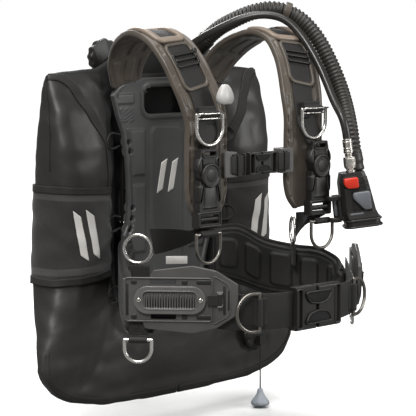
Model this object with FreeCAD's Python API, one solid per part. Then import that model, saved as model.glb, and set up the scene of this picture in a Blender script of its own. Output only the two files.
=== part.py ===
"""Buoyancy compensator vest: a back-mounted air cell on a tank plate with a harness.

Frame: +X is the wearer's left, -Y the front, +Z up. The origin is on the tank axis,
at the middle of the upper tank band. Lengths are millimetres.
"""
import FreeCAD, Part
import math
import os
from FreeCAD import Vector as V

# ---- tank and bands -------------------------------------------------------------------------
tank_radius = 92.2          # bore that grips a 184 mm cylinder
band_width = 50.0
band_thickness = 2.4
band_spacing = 90.0         # upper band to lower band
band_slot_x = 62.0          # where a band passes through the plate
slot_clearance = 0.8
cam_angle = 48.0            # where the cam buckle sits round the tank, degrees
cam_length = 62.0
cam_plate = 3.0
cam_cheek = 3.0
cam_pin_radius = 2.6
cam_pin_height = 8.5        # pin centre above the base plate
cam_lever_thickness = 4.0

# ---- layers from the tank to the wearer's back ----------------------------------------------
sheet_back_y = -97.0        # middle of the air cell, next to the tank
sheet_thickness = 11.0
plate_gap = 1.0
plate_thickness = 6.0
plate_half_width = 76.0
plate_top = 196.0
plate_bottom = -128.0
pad_gap = 4.0               # the band's crossing lies in this gap
pad_thickness = 13.0
handle_half_width = 44.0
handle_low = 136.0
handle_high = 176.0

# ---- air cell -------------------------------------------------------------------------------
cell_front_y = -146.0       # front of the side lobes
cell_low_front_y = -153.0   # front of the lower panel
cell_edge_y = -92.0         # where a lobe's outer edge ends, towards the tank
hem_back_y = -128.0         # back of the flat hem under the cell
cell_top_corner = (212.0, 200.0)
cell_low_corner = (257.0, -224.0)
cell_bottom = -290.0
cell_neck_half = 68.0
cell_neck_top = 240.0

# ---- webbing --------------------------------------------------------------------------------
webbing_thickness = 2.2
waist_webbing = 50.0
shoulder_webbing = 38.0
chest_webbing = 25.0
body_gap = 0.5              # between pieces that move on each other

# ---- shoulder pad ---------------------------------------------------------------------------
shoulder_thickness = 11.0
rail_x = 97.0               # middle of the pad where it is straight
rail_y = -319.0
rail_half_width = 38.0
rail_top = 136.0
rail_low = 38.0

# ---- hip plate ------------------------------------------------------------------------------
hip_centre = (174.0, -352.0, -100.0)
hip_turn = 43.0             # outward normal, degrees from +X towards -Y
hip_length = 157.0
hip_height = 93.0
hip_thickness = 5.0
hip_slot = 6.5              # height of the two accessory slots
catch_length = 98.0
catch_height = 38.0
catch_thickness = 6.0
catch_screw_half = 42.0
catch_x = -14.0             # middle of the catch from the middle of the plate
screw_radius = 3.0
screw_head = 2.2
screw_sink = 1.5
latch_hinge_x = 54.0
latch_half_height = 7.0
latch_hub_radius = 2.4

# ---- buckles --------------------------------------------------------------------------------
waist_buckle = (88.0, 16.0, 60.0)       # length, depth, height
waist_buckle_y = -438.0
waist_z = -118.5
chest_buckle = (56.0, 11.0, 31.0)
chest_z = 74.0
swivel_x = 111.0
swivel_y = -337.0
swivel_top = 100.0
swivel_z = 64.0
swivel_radius = 16.0
swivel_low = 14.0
ladder_half_width = 23.0
ladder_low = -8.0

# ---- rings ----------------------------------------------------------------------------------
ring_wire = 2.5
shoulder_ring = (44.0, 18.0)            # inner width, straight leg
lower_ring = (40.0, 18.0)
hip_ring = (32.0, 12.0)
waist_ring = (47.0, 9.0)
strap_ring_radius = 20.0                # the round ring between the lower strap and the hip
loop_wall = 2.0
loop_bore = 0.3                         # clearance round a ring's bar

# ---- inflator -------------------------------------------------------------------------------
inflator_centre = (163.0, -366.0, 14.0)
inflator_height = 80.0
inflator_width = 46.0
inflator_depth = 42.0
hose_diameter = 25.0
supply_diameter = 12.0
fitting_nut = 8.4           # corner radius of the nut at the regulator end
button_travel = 3.0
button_gap = 0.4

# ---- dump valves ----------------------------------------------------------------------------
dump_valve = (157.0, -216.0)
dump_radius = 24.0
dump_depth = 14.0
pull_cord_diameter = 2.2
pull_knob_radius = 15.0
pull_knob_height = 28.0
shoulder_pull_at = (-79.0, -336.0, 188.0)
shoulder_pull_radius = 10.5

ARC_SHARE = 0.45            # share of the shorter run that a hose's bend takes


# ---- small helpers --------------------------------------------------------------------------
def box(x0, x1, y0, y1, z0, z1):
    return Part.makeBox(x1 - x0, y1 - y0, z1 - z0, V(x0, y0, z0))


def rod(start, end, radius):
    return Part.makeCylinder(radius, (end - start).Length, start, end - start)


def slab(outline, direction):
    """A flat outline of points, pushed along a direction."""
    return Part.Face(Part.makePolygon([V(*p) for p in outline + outline[:1]])).extrude(V(*direction))


def front_slab(outline, y_back, thickness):
    """An outline in x and z, from y_back towards the front."""
    return slab([(x, y_back, z) for x, z in outline], (0, -thickness, 0))


def both_sides(half_outline):
    """The half outline and its mirror image; points on the middle line come once."""
    return half_outline + [(-x, z) for x, z in reversed(half_outline) if x > 0]


def mirrored(shape):
    return shape.mirror(V(0, 0, 0), V(1, 0, 0))


def placed(shape, origin, x_axis, y_axis):
    """Moves a shape from its own frame to an origin and two axes."""
    x = V(*x_axis).normalize()
    y = V(*y_axis).normalize()
    z = x.cross(y)
    matrix = FreeCAD.Matrix(x.x, y.x, z.x, origin[0], x.y, y.y, z.y, origin[1],
                            x.z, y.z, z.z, origin[2], 0, 0, 0, 1)
    moved = shape.copy()
    moved.Placement = FreeCAD.Placement(matrix).multiply(shape.Placement)
    return moved


def loft(sections):
    """A closed solid through polygons with the same number of corners."""
    wires = [Part.makePolygon(list(s) + [s[0]]) for s in sections]
    return Part.makeLoft(wires, True, True)


def ribbon(stations, thickness, across=None):
    """A strap along stations (point, half width), flat across X or a direction at each."""
    points = [V(*p) for p, _ in stations]
    across = across or [V(1, 0, 0)] * len(points)
    sections = []
    for i, (point, (_, half)) in enumerate(zip(points, stations)):
        before = points[i] - points[i - 1] if i else points[1] - points[0]
        after = points[i + 1] - points[i] if i + 1 < len(points) else before
        along = (before.normalize() + after.normalize()).normalize()
        wide = (across[i] - along * across[i].dot(along)).normalize()
        thick = along.cross(wide).normalize()
        miter = 1 / max(0.5, math.cos(before.getAngle(after) / 2))
        t = thick * (thickness / 2 * miter)
        w = wide * half
        sections.append([point - w - t, point + w - t, point + w + t, point - w + t])
    return loft(sections)


def belt(stations, thickness):
    """A wall along stations (x, y, low z, high z)."""
    points = [V(x, y, 0) for x, y, _, _ in stations]
    sections = []
    for i, (x, y, low, high) in enumerate(stations):
        before = points[i] - points[i - 1] if i else points[1] - points[0]
        after = points[i + 1] - points[i] if i + 1 < len(points) else before
        along = (before.normalize() + after.normalize()).normalize()
        t = V(-along.y, along.x, 0) * (thickness / 2 / math.cos(before.getAngle(after) / 2))
        base, top = V(x, y, low), V(x, y, high)
        sections.append([base - t, base + t, top + t, top - t])
    return loft(sections)


def tube(points, diameter, name):
    """A hose: straight runs joined by tangent arcs as large as the runs allow."""
    points = [V(*p) for p in points]
    edges, radii = [], []
    start = points[0]
    for before, corner, after in zip(points, points[1:], points[2:]):
        back, ahead = before - corner, after - corner
        reach = ARC_SHARE * min(back.Length, ahead.Length)
        half_turn = (math.pi - back.getAngle(ahead)) / 2
        radius = reach / math.tan(half_turn)
        back.normalize()
        ahead.normalize()
        inward = (back + ahead).normalize()
        middle = corner + inward * (radius / math.cos(half_turn) - radius)
        edges.append(Part.LineSegment(start, corner + back * reach).toShape())
        edges.append(Part.Arc(corner + back * reach, middle, corner + ahead * reach).toShape())
        start = corner + ahead * reach
        radii.append(round(radius))
    edges.append(Part.LineSegment(start, points[-1]).toShape())
    path = Part.Wire(edges)
    circle = Part.Wire(Part.makeCircle(diameter / 2, points[0], points[1] - points[0]))
    solid = path.makePipeShell([circle], True, True)
    ratio = solid.Volume / (math.pi * diameter ** 2 / 4 * path.Length)
    print(f"{name}: length {path.Length:.0f}, radii {radii}, volume ratio {ratio:.4f}")
    return solid


def d_ring(inner_width, leg, wire):
    """A D-ring hanging along -Z from a bar on the X axis."""
    radius = inner_width / 2 + wire
    corners = [V(-radius, 0, 0), V(radius, 0, 0)]
    feet = [V(-radius, 0, -leg), V(radius, 0, -leg)]
    ring = rod(corners[0], corners[1], wire)
    for corner, foot in zip(corners, feet):
        ring = ring.fuse([rod(corner, foot, wire), Part.makeSphere(wire, corner)])
    bow = Part.makeTorus(radius, wire, V(0, 0, 0), V(0, 0, 1), -180, 180, 180)
    bow.rotate(V(0, 0, 0), V(1, 0, 0), -90)
    bow.translate(V(0, 0, -leg))
    return ring.fuse(bow)


def largest(shape):
    """The biggest solid of a shape, where a cut leaves slivers."""
    return max(shape.Solids, key=lambda solid: solid.Volume)


def save(name, *shapes):
    solids = [solid for shape in shapes for solid in shape.Solids]
    whole = solids[0] if len(solids) == 1 else Part.makeCompound(solids)
    if not whole.isValid():
        print("invalid", name)
    whole.exportStep(f"parts/{name}.step")


# ---- air cell -------------------------------------------------------------------------------
def cell_section(wide, front, edge, back, lobe):
    """Half of the air cell's outline at one height: a sheet with a lobe at the side.

    The lobe's front is flat, its outer edge ends at edge, and it bulges behind the sheet.
    """
    sheet_front = back - sheet_thickness
    depth = edge - front
    return [(0, sheet_front), (86, sheet_front), (126, front + 6 * lobe), (140, front),
            (wide - 22, front), (wide - 5, front + 0.18 * depth), (wide, front + 0.45 * depth),
            (wide, edge), (wide - 16, edge + 20 * lobe), (wide - 50, back + 46 * lobe),
            (146, back + 42 * lobe), (125, back + 20 * lobe), (112, back + 5 * lobe),
            (104, back), (0, back)]


def air_cell():
    """A horseshoe-like cell: two side lobes, a lower panel and a sheet behind the plate."""
    top_x, top_z = cell_top_corner
    low_x, low_z = cell_low_corner
    back = sheet_back_y
    levels = [(top_z, top_x, -112, back, back, 0.12), (150, 214, -134, -94, back, 0.75),
              (95, 217, cell_front_y, cell_edge_y, back, 1.0),
              (0, 219, cell_front_y, cell_edge_y, back, 1.0),
              (-100, 226, cell_front_y, -98, back, 1.0), (-160, 240, -150, -115, back, 0.9),
              (low_z, low_x, cell_low_front_y, -132, back, 0.45),
              (-252, 236, cell_low_front_y, -130, hem_back_y + 3, 0.1)]
    right, left = [], []
    for z, wide, *profile in levels:
        half = cell_section(wide, *profile)
        right.append([V(-x, y, z) for x, y in half])
        left.append([V(x, y, z) for x, y in half])
    halves = [loft(left), loft(right)]
    sheet_front = sheet_back_y - sheet_thickness
    # the lower panel in front of the sheet closes the horseshoe below the plate
    belly = [(-150, -122), (-172, -146), (-205, -151), (low_z, cell_low_front_y),
             (low_z, sheet_front + 0.5), (-150, sheet_front + 0.5)]
    panel = slab([(-150, y, z) for z, y in belly], (300, 0, 0))
    hem = both_sides([(0, low_z), (low_x, low_z), (246, -244), (228, -262), (200, -277),
                      (140, -288), (70, cell_bottom), (0, cell_bottom)])
    skirt = front_slab(hem, hem_back_y, hem_back_y - cell_low_front_y)
    neck = front_slab(both_sides([(top_x, top_z), (172, top_z + 4), (120, top_z + 6), (96, 219),
                                  (cell_neck_half, cell_neck_top)]), sheet_back_y, 13.0)
    cell = halves[0].fuse([halves[1], panel, skirt, neck])
    return cell.cut(band_slots(sheet_back_y + 30, sheet_front - 2))


def band_slots(y_back, y_front):
    """Upright slots that the two tank bands pass through."""
    half_high = band_width / 2 + slot_clearance
    slots = []
    for z in (0, -band_spacing):
        for side in (-1, 1):
            middle = side * band_slot_x
            slots.append(box(middle - 12, middle + 12, y_front, y_back, z - half_high, z + half_high))
    return slots[0].fuse(slots[1:])


# ---- plate and back pad ---------------------------------------------------------------------
def plate_front_y():
    return sheet_back_y - sheet_thickness - plate_gap - plate_thickness


def backplate():
    outline = both_sides([(0, plate_bottom), (62, plate_bottom), (plate_half_width, -112),
                          (plate_half_width, 120), (88, 150), (88, 184), (70, plate_top)])
    back = plate_front_y() + plate_thickness
    plate = front_slab(outline, back, plate_thickness)
    opening = box(-handle_half_width, handle_half_width, plate_front_y() - 1, back + 1,
                  handle_low, handle_high)
    slots = band_slots(back + 1, plate_front_y() - 1)
    return plate.cut([opening, slots])


def pad_outline():
    return [(30, -132), (62, -130), (76, -118), (80, -90), (88, -62), (88, -42), (81, -28),
            (78, 5), (79, 40), (81, 72), (87, 109), (98, 136), (108, 166), (90, 178), (64, 192),
            (48, 190), (20, 183)]


def back_pad():
    back = plate_front_y() - pad_gap
    pad = front_slab(both_sides(pad_outline()), back, pad_thickness)
    opening = box(-handle_half_width, handle_half_width, back - pad_thickness - 1, back + 1,
                  handle_low, handle_high)
    return pad.cut(opening.makeFillet(12, [e for e in opening.Edges if e.BoundBox.YLength > 5]))


def lumbar_path():
    return [(88, -143, -118, -44), (116, -164, -128, -42), (142, -196, -142, -72),
            (172, -236, -148, -77), (195, -268, -150, -80), (205, -291, -148, -94),
            (186, -316, -146, -104)]


def lumbar_pad():
    return belt(lumbar_path(), 15.0)


# ---- tank bands -----------------------------------------------------------------------------
def tank_band(z):
    """A strap round the tank that runs through the plate and crosses in front of it."""
    cross_y = plate_front_y() - pad_gap / 2
    middle = tank_radius + band_thickness / 2
    reach = math.hypot(band_slot_x, cross_y)
    tangent = math.atan2(cross_y, band_slot_x) + math.acos(middle / reach)
    rings = []
    for radius in (tank_radius, tank_radius + band_thickness):
        foot = V(radius * math.cos(tangent), radius * math.sin(tangent), 0)
        away = V(math.sin(tangent), -math.cos(tangent), 0)
        y_end = cross_y + (1 if radius == tank_radius else -1) * band_thickness / 2
        corner = foot + away * ((y_end - foot.y) / away.y)
        edges = [Part.Arc(foot, V(0, radius, 0), V(-foot.x, foot.y, 0)).toShape(),
                 Part.LineSegment(V(-foot.x, foot.y, 0), V(-corner.x, corner.y, 0)).toShape(),
                 Part.LineSegment(V(-corner.x, corner.y, 0), corner).toShape(),
                 Part.LineSegment(corner, foot).toShape()]
        rings.append(Part.Face(Part.Wire(edges)).extrude(V(0, 0, band_width)))
    band = rings[1].cut(rings[0])
    band.translate(V(0, 0, z - band_width / 2))
    return band


def at_cam(shape, z):
    """From the cam buckle's own frame: x round the tank, y outward from the band."""
    angle = math.radians(cam_angle)
    out = V(math.cos(angle), math.sin(angle), 0)
    foot = out * (tank_radius + band_thickness + 0.3) + V(0, 0, z)
    return placed(shape, foot, (math.sin(angle), -math.cos(angle), 0), out)


def cam_frame():
    half = band_width / 2 + cam_cheek
    pin_y = cam_plate + cam_pin_height
    frame = box(-cam_length / 2, cam_length / 2, 0, cam_plate, -half, half)
    for side in (-1, 1):
        z0 = side * (half - cam_cheek / 2) - cam_cheek / 2
        cheek = box(-cam_length / 2, -4, 0, pin_y + 6, z0, z0 + cam_cheek)
        frame = frame.fuse(cheek)
    bore = rod(V(-16, pin_y, -half - 1), V(-16, pin_y, half + 1), cam_pin_radius + 0.15)
    return frame.cut(bore)


def cam_lever():
    half = band_width / 2 - 0.6
    pin_y = cam_plate + cam_pin_height
    reach = cam_length / 2 + 8
    lever = box(-20, reach, pin_y - cam_lever_thickness / 2, pin_y + cam_lever_thickness / 2, -half, half)
    hub = rod(V(-16, pin_y, -half), V(-16, pin_y, half), 5.4)
    pin_half = band_width / 2 + cam_cheek
    pin = rod(V(-16, pin_y, -pin_half), V(-16, pin_y, pin_half), cam_pin_radius)
    return lever.fuse([hub, pin])


# ---- shoulder harness -----------------------------------------------------------------------
def shoulder_pad():
    stations = [((84, -134, 184), 26), ((91, -144, 207), 32), ((100, -166, 232), 37),
                ((110, -197, 250), 39), ((117, -230, 257), 40), ((117, -260, 248), 40),
                ((112, -285, 223), 40), ((106, -302, 191), 40), ((100, -313, 163), 40),
                ((rail_x, rail_y, rail_top), rail_half_width),
                ((rail_x, rail_y, rail_low), rail_half_width), ((101, rail_y, 4), 21)]
    return ribbon(stations, shoulder_thickness)


def shoulder_strap():
    """Webbing over the pad, from the top of the arch into the swivel buckle."""
    front = rail_y - shoulder_thickness / 2 - webbing_thickness / 2 - 1.2
    points = [(110, -196, 258.5), (118, -230, 265.5), (118, -264, 256), (114, -291, 228),
              (109, -309, 194), (105.5, -320.5, 165), (105, front, rail_top),
              (108, front, swivel_top + 14), (swivel_x, swivel_y + 4, swivel_top + 0.3)]
    half = shoulder_webbing / 2
    strap = ribbon([(p, half) for p in points], webbing_thickness)
    return largest(strap.cut(swivel_buckle()))


def lower_strap():
    """Webbing from the ladder lock back to the ring at the hip."""
    half = shoulder_webbing / 2
    points = [(swivel_x, swivel_y + 1, ladder_low - 0.4), (115, -327, -16), (124, -307, -22),
              (135, -282, -28), (146, -259, -33)]
    twist = [math.radians(85 * i / (len(points) - 1)) for i in range(len(points))]
    across = [V(math.cos(a), 0, math.sin(a)) for a in twist]
    strap = ribbon([(p, half) for p in points], webbing_thickness, across)
    return largest(strap.cut([ladder_lock(), lower_ring_tab(), strap_ring()]))


def swivel_buckle():
    """Plug, round swivel and socket, one above the other in front of the pad."""
    back, front = swivel_y + 6, swivel_y - 5
    plug = slab([(swivel_x - 15, back, swivel_top), (swivel_x + 15, back, swivel_top),
                 (swivel_x + 21, back, swivel_z + 8), (swivel_x + 14, back, swivel_z - 8),
                 (swivel_x - 14, back, swivel_z - 8), (swivel_x - 21, back, swivel_z + 8)],
                (0, front - back, 0))
    window = box(swivel_x - 11, swivel_x + 11, front - 1, back + 1, swivel_top - 9, swivel_top - 4)
    disc = rod(V(swivel_x, back, swivel_z), V(swivel_x, front - 4, swivel_z), swivel_radius)
    socket = box(swivel_x - 19, swivel_x + 19, front - 1, back, swivel_low, swivel_z - 7)
    return plug.cut(window).fuse([disc, socket])


def ladder_lock():
    """The webbing adjuster under the swivel buckle."""
    back, front = swivel_y + 6, swivel_y - 6
    frame = box(swivel_x - ladder_half_width, swivel_x + ladder_half_width, front, back,
                ladder_low, swivel_low - 0.2)
    window = box(swivel_x - 17, swivel_x + 17, front - 1, back + 1, ladder_low + 5, swivel_low - 5)
    bar = rod(V(swivel_x - 17.5, swivel_y, 3), V(swivel_x + 17.5, swivel_y, 3), 2.5)
    return frame.cut(window).fuse(bar)


def strap_frames():
    """Moulded frames that hold the webbing on top of a pad, and the three-bar slide."""
    frames = []
    for point, along, width, height in (((117, -247, 260.8), (0, 34, 9.5), 48, 26),
                                        ((111.5, -300, 211.5), (0, 18, 34), 46, 22)):
        ring = box(-width / 2, width / 2, -height / 2, height / 2, 1.4, 5.2)
        hole = box(-width / 2 + 5, width / 2 - 5, -height / 2 + 5, height / 2 - 5, 1, 6)
        frames.append(placed(ring.cut(hole), point, (1, 0, 0), along))
    return frames


# ---- chest strap ----------------------------------------------------------------------------
def chest_slider():
    """A clip that wraps the inner edge of the pad and slides along it."""
    edge = rail_x - rail_half_width
    half_thick = shoulder_thickness / 2 + body_gap
    clip = box(edge - 14, edge + 10, rail_y - half_thick - 4, rail_y + half_thick + 3,
               chest_z - 18, chest_z + 18)
    groove = box(edge - body_gap, edge + 11, rail_y - half_thick, rail_y + half_thick,
                 chest_z - 19, chest_z + 19)
    window = box(edge - 9, edge - 4, rail_y - 20, rail_y + 20, chest_z - 13.5, chest_z + 13.5)
    return clip.cut([groove, window])


def chest_y():
    return rail_y - shoulder_thickness / 2 - 6


def chest_band():
    """Webbing from the slider to the buckle."""
    y = chest_y()
    half = chest_buckle[0] / 2
    return box(half, rail_x - rail_half_width - 3.5, y - webbing_thickness / 2,
               y + webbing_thickness / 2, chest_z - chest_webbing / 2, chest_z + chest_webbing / 2)


def side_buckle(size, y, z, share):
    """A side-release buckle about x = 0: the socket's share of its length is on the left."""
    length, depth, height = size
    split = length * (share - 0.5)
    socket = box(split, length / 2, y - depth / 2, y + depth / 2, z - height / 2, z + height / 2)
    socket = socket.makeFillet(depth * 0.22, [e for e in socket.Edges if e.BoundBox.XLength > 5])
    plug = box(-length / 2, split - 4, y - depth * 0.4, y + depth * 0.4, z - height / 2, z + height / 2)
    tongue = box(split - 5, split - 0.2, y - depth * 0.25, y + depth * 0.25,
                 z - height * 0.42, z + height * 0.42)
    plug = plug.fuse(tongue)
    slot_half = height * 0.42
    cuts = []
    for x0 in (-length / 2 + 3, length / 2 - 9):
        cuts.append(box(x0, x0 + 6, y - depth, y + depth, z - slot_half, z + slot_half))
    bar = rod(V(-length / 2 + 6, y, z - slot_half), V(-length / 2 + 6, y, z + slot_half), 1.6)
    return socket.cut(cuts[1]), plug.cut(cuts[0]).fuse(bar)


# ---- waist ----------------------------------------------------------------------------------
def hip_axes():
    """Outward normal and forward direction of the left hip plate."""
    turn = math.radians(hip_turn)
    normal = V(math.cos(turn), -math.sin(turn), 0)
    forward = V(-math.sin(turn), -math.cos(turn), 0)
    return normal, forward


def at_hip(shape):
    """From the hip plate's own frame: x forward, y outward, z up."""
    normal, forward = hip_axes()
    return placed(shape, V(*hip_centre), forward, normal)


def hip_plate():
    """A moulded plate with a nose at the front and a slotted bed for the catch."""
    half, tall = hip_length / 2, hip_height / 2
    outline = [(-half, -tall * 0.62), (-half + 26, -tall * 0.62), (-half + 30, -tall * 0.86),
               (half * 0.22, -tall), (half * 0.62, -tall * 0.84), (half, -tall * 0.42),
               (half, tall * 0.46), (half * 0.62, tall * 0.86), (half * 0.22, tall),
               (-half + 42, tall * 0.86), (-half + 36, tall * 0.62), (-half, tall * 0.62)]
    plate = slab([(x, 0, z) for x, z in outline], (0, hip_thickness, 0))
    for side in (-1, 1):
        z = side * (catch_height / 2 + 1.5 + hip_slot / 2)
        plate = plate.cut(box(-40, -6, -1, hip_thickness + 1, z - hip_slot / 2, z + hip_slot / 2))
    return plate


def ribbed_catch():
    """An oval block that the pocket's ratchet would bite on."""
    straight = catch_length / 2 - catch_height / 2
    y0, y1 = hip_thickness + 0.2, hip_thickness + catch_thickness
    oval = box(catch_x - straight, catch_x + straight, y0, y1, -catch_height / 2, catch_height / 2)
    for side in (-1, 1):
        end = V(catch_x + side * straight, y0, 0)
        oval = oval.fuse(rod(end, V(end.x, y1, 0), catch_height / 2))
    bed = box(catch_x - 36, catch_x + 36, y1 - 2, y1 + 1, -11, 11)
    for side in (-1, 1):
        x = catch_x + side * catch_screw_half
        bed = bed.fuse(rod(V(x, y1 - screw_sink, 0), V(x, y1 + 1, 0), screw_radius + 0.3))
    return oval.cut(bed)


def catch_screws():
    """The two screws that hold the catch."""
    seat = hip_thickness + catch_thickness - screw_sink
    heads = []
    for side in (-1, 1):
        x = catch_x + side * catch_screw_half
        heads.append(rod(V(x, seat, 0), V(x, seat + screw_head, 0), screw_radius))
    return heads


def hip_latch():
    """A finger tab in front of the catch, hinged at its front end."""
    hinge_y = hip_thickness + latch_hub_radius + 0.6
    tab = box(latch_hinge_x - 17, latch_hinge_x, hinge_y - 2, hinge_y + 1.5,
              -latch_half_height, latch_half_height)
    hub = rod(V(latch_hinge_x, hinge_y, -latch_half_height),
              V(latch_hinge_x, hinge_y, latch_half_height), latch_hub_radius)
    return tab.fuse(hub)


def latch_bracket():
    """Two ears that the latch's hinge runs between."""
    ear = 3.0
    gap = 0.3
    ears = []
    for side in (-1, 1):
        middle = side * (latch_half_height + gap + ear / 2)
        ears.append(box(latch_hinge_x - 3.5, latch_hinge_x + 3.5, hip_thickness - 0.5,
                        hip_thickness + 6, middle - ear / 2, middle + ear / 2))
    return ears[0].fuse(ears[1])


def waist_path():
    normal, forward = hip_axes()
    centre = V(*hip_centre)
    inner = centre - normal * 7
    rear = inner - forward * (hip_length / 2 - 22)
    front = inner + forward * (hip_length / 2 + 2)
    end = waist_buckle[0] / 2 + 0.4         # the belt comes at a slant: its corner meets the buckle
    return [rear, front, V(72, waist_buckle_y + 9, 0), V(end, waist_buckle_y, 0)]


def waist_belt():
    half = waist_webbing / 2
    points = waist_path()
    low = waist_z - half
    stations = [(p.x, p.y, low + 10, low + 10 + waist_webbing) for p in points[:1]]
    stations += [(p.x, p.y, low, low + waist_webbing) for p in points[1:]]
    return belt(stations, webbing_thickness)


# ---- rings ----------------------------------------------------------------------------------
shoulder_ring_at = V(104.0, rail_y - 16, 147.0)
lower_ring_at = V(114.0, swivel_y - 6.0, ladder_low - 9.0)
waist_ring_at = V(94.9, -424.5, waist_z)
waist_ring_back = V(0.965, 0.262, 0)
hip_ring_local = (-58.0, 3.5, -56.0)
strap_ring_at = V(156.0, -243.0, -44.0)
strap_ring_normal = V(0.82, -0.575, 0)


def loop(centre, along, width):
    """The webbing sleeve that a ring's bar turns in."""
    inner = ring_wire + loop_bore
    start, end = centre - along * (width / 2), centre + along * (width / 2)
    return rod(start, end, inner + loop_wall).cut(rod(start - along, end + along, inner))


def lower_ring_tab():
    at = lower_ring_at
    near, far = at.y + ring_wire + loop_bore + 0.6, at.y + 16
    strip = box(at.x - 14.5, at.x + 14.5, near, far, at.z - 1.5, at.z + 1.5)
    return loop(at, V(1, 0, 0), 30).fuse(strip)


def ring_tabs():
    """The webbing tabs that carry the rings of one side."""
    bore = ring_wire + loop_bore
    at = shoulder_ring_at
    tabs = [loop(at, V(1, 0, 0), 34).fuse(
        box(at.x - 16.5, at.x + 16.5, at.y + bore + 0.6, rail_y - 8, at.z - 1, at.z + 11))]
    tabs.append(lower_ring_tab())
    at = waist_ring_at
    front, middle = [V(p.x, p.y, 0) for p in waist_path()[1:3]]
    along = (middle - front).normalize()
    outward = V(-along.y, along.x, 0)
    gap = (V(at.x, at.y, 0) - front).dot(outward) - webbing_thickness / 2
    patch = placed(box(-12, 12, bore + 0.6, gap, -19, 19), at, along, outward * -1)
    tabs.append(loop(at, V(0, 0, 1), 40).fuse(patch))
    x, y, z = hip_ring_local
    sleeve = loop(V(x, y, z), V(1, 0, 0), 26)
    tabs.append(at_hip(sleeve.fuse(box(x - 13, x + 13, y - 6.5, y - 3.7, z - 1, z + 34))))
    along = V(-strap_ring_normal.y, strap_ring_normal.x, 0)
    low = strap_ring_at - V(0, 0, strap_ring_radius)
    hanger = placed(box(-17, 17, -1.6, 1.6, -34, -bore), low, along, strap_ring_normal * -1)
    tabs.append(hanger)
    pad = lumbar_pad()
    return [largest(tab.cut(pad)) for tab in tabs]


def strap_ring():
    """The round ring between the lower strap and the hip tab."""
    return Part.makeTorus(strap_ring_radius, ring_wire, strap_ring_at, strap_ring_normal)


def waist_ring_shape():
    """Bar upright, bow towards the hip."""
    flat = d_ring(*waist_ring, ring_wire)
    return placed(flat, waist_ring_at, (0, 0, 1), V(-waist_ring_back.y, waist_ring_back.x, 0))


# ---- inflator -------------------------------------------------------------------------------
inflator_side = V(0.77, -0.64, 0).normalize()
inflator_lean = 7.0


def at_inflator(shape):
    """From the inflator's own frame: x to its side, y towards its back, z up."""
    lean = math.radians(inflator_lean)
    up = V(0, 0, 1) * math.cos(lean) - inflator_side * math.sin(lean)
    side = inflator_side * math.cos(lean) + V(0, 0, 1) * math.sin(lean)
    back = up.cross(side)
    return placed(shape, V(*inflator_centre), side, back)


def inflator_point(x, y, z):
    return at_inflator(Part.Vertex(V(x, y, z))).Point


def inflator_body():
    """Housing that tapers up from the oval mouthpiece base."""
    top, low = inflator_height / 2, -inflator_height / 2
    w, d = inflator_width / 2, inflator_depth / 2
    sections = []
    for z, x0, x1, grow in ((low + 12, -w + 1, w + 7, 2), (low + 22, -w - 1, w + 3, 0),
                            (top - 14, -w - 1, w - 4, -1), (top, -w + 3, w - 8, -3)):
        sections.append([V(x0 + 6, -d - grow, z), V(x1 - 6, -d - grow, z), V(x1, -d + 7, z),
                         V(x1, d - 7, z), V(x1 - 6, d + grow, z), V(x0 + 6, d + grow, z),
                         V(x0, d - 7, z), V(x0, -d + 7, z)])
    housing = loft(sections)
    for name in ("inflate", "deflate"):
        housing = housing.cut(button(name, button_gap, 9.0))
    return housing


button_size = {"inflate": (-18.0, 3.0, 18.0, 34.0), "deflate": (-8.0, 19.0, -16.0, 12.0)}


def button(name, grow, depth):
    """A button in the front face, with its pocket when it grows by the gap."""
    x0, x1, z0, z1 = button_size[name]
    front = -inflator_depth / 2 - 4
    return box(x0 - grow, x1 + grow, front - grow, front + depth + grow, z0 - grow, z1 + grow)


def mouthpiece():
    """The oval rubber base."""
    low = -inflator_height / 2
    w, d = inflator_width / 2, inflator_depth / 2
    shape = box(-w + 2, w + 8, -d - 3, d + 3, low - 2, low + 11.7)
    upright = [e for e in shape.Edges if e.BoundBox.ZLength > 5]
    return shape.makeFillet(d * 0.6, upright)


def inflator_holder():
    """The clip between the strap and the inflator."""
    w = inflator_width / 2
    plate = box(-w - 13, -w - 3, -4, 4, -31, 9)
    grip = box(-w - 6, -w - 1.3, -13, 13, -29, 7)
    return plate.fuse(grip)


# ---- hoses ----------------------------------------------------------------------------------
def hose_routes():
    """Route points of the breathing hose and the supply hose, top end first."""
    cuff_top = inflator_point(5, 11, inflator_height / 2 + 26)
    above_cuff = inflator_point(5, 11, inflator_height / 2 + 58)
    supply_end = inflator_point(-5, -11, inflator_height / 2 + 50.3)
    above_supply = inflator_point(-5, -11, inflator_height / 2 + 76)
    breathing = [(98, -112, 246), (99, -134, 262), (102, -166, 275), (113, -196, 288),
                 (136, -222, 294), (163, -246, 281), (181, -268, 250), (190, -290, 208),
                 (192, -311, 165), above_cuff, cuff_top]
    supply = [(41, -134, 236), (47, -152, 248), (60, -178, 262), (80, -206, 278),
              (103, -232, 285), (125, -256, 278), (137, -279, 252), (142, -303, 218),
              (143, -323, 185), (142, -340, 155), above_supply, supply_end]
    return breathing, supply


def hose_cuff():
    top, low = inflator_height / 2 + 26, inflator_height / 2 + 0.3
    cuff = Part.makeCone(14.0, hose_diameter / 2 + 1.0, top - low, V(5, 11, low), V(0, 0, 1))
    return at_inflator(cuff)


def coupler_body():
    """Quick-disconnect nipple and the crimped end of the supply hose."""
    low = inflator_height / 2 + 0.3
    stem = Part.makeCylinder(5.0, 50, V(-5, -11, low))
    foot = Part.makeCylinder(7.2, 4, V(-5, -11, low))
    crimp = Part.makeCylinder(7.2, 21, V(-5, -11, low + 29), V(0, 0, 1))
    return at_inflator(stem.fuse([foot, crimp]).cut(Part.makeCylinder(1.5, 60, V(-5, -11, low - 1))))


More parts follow.
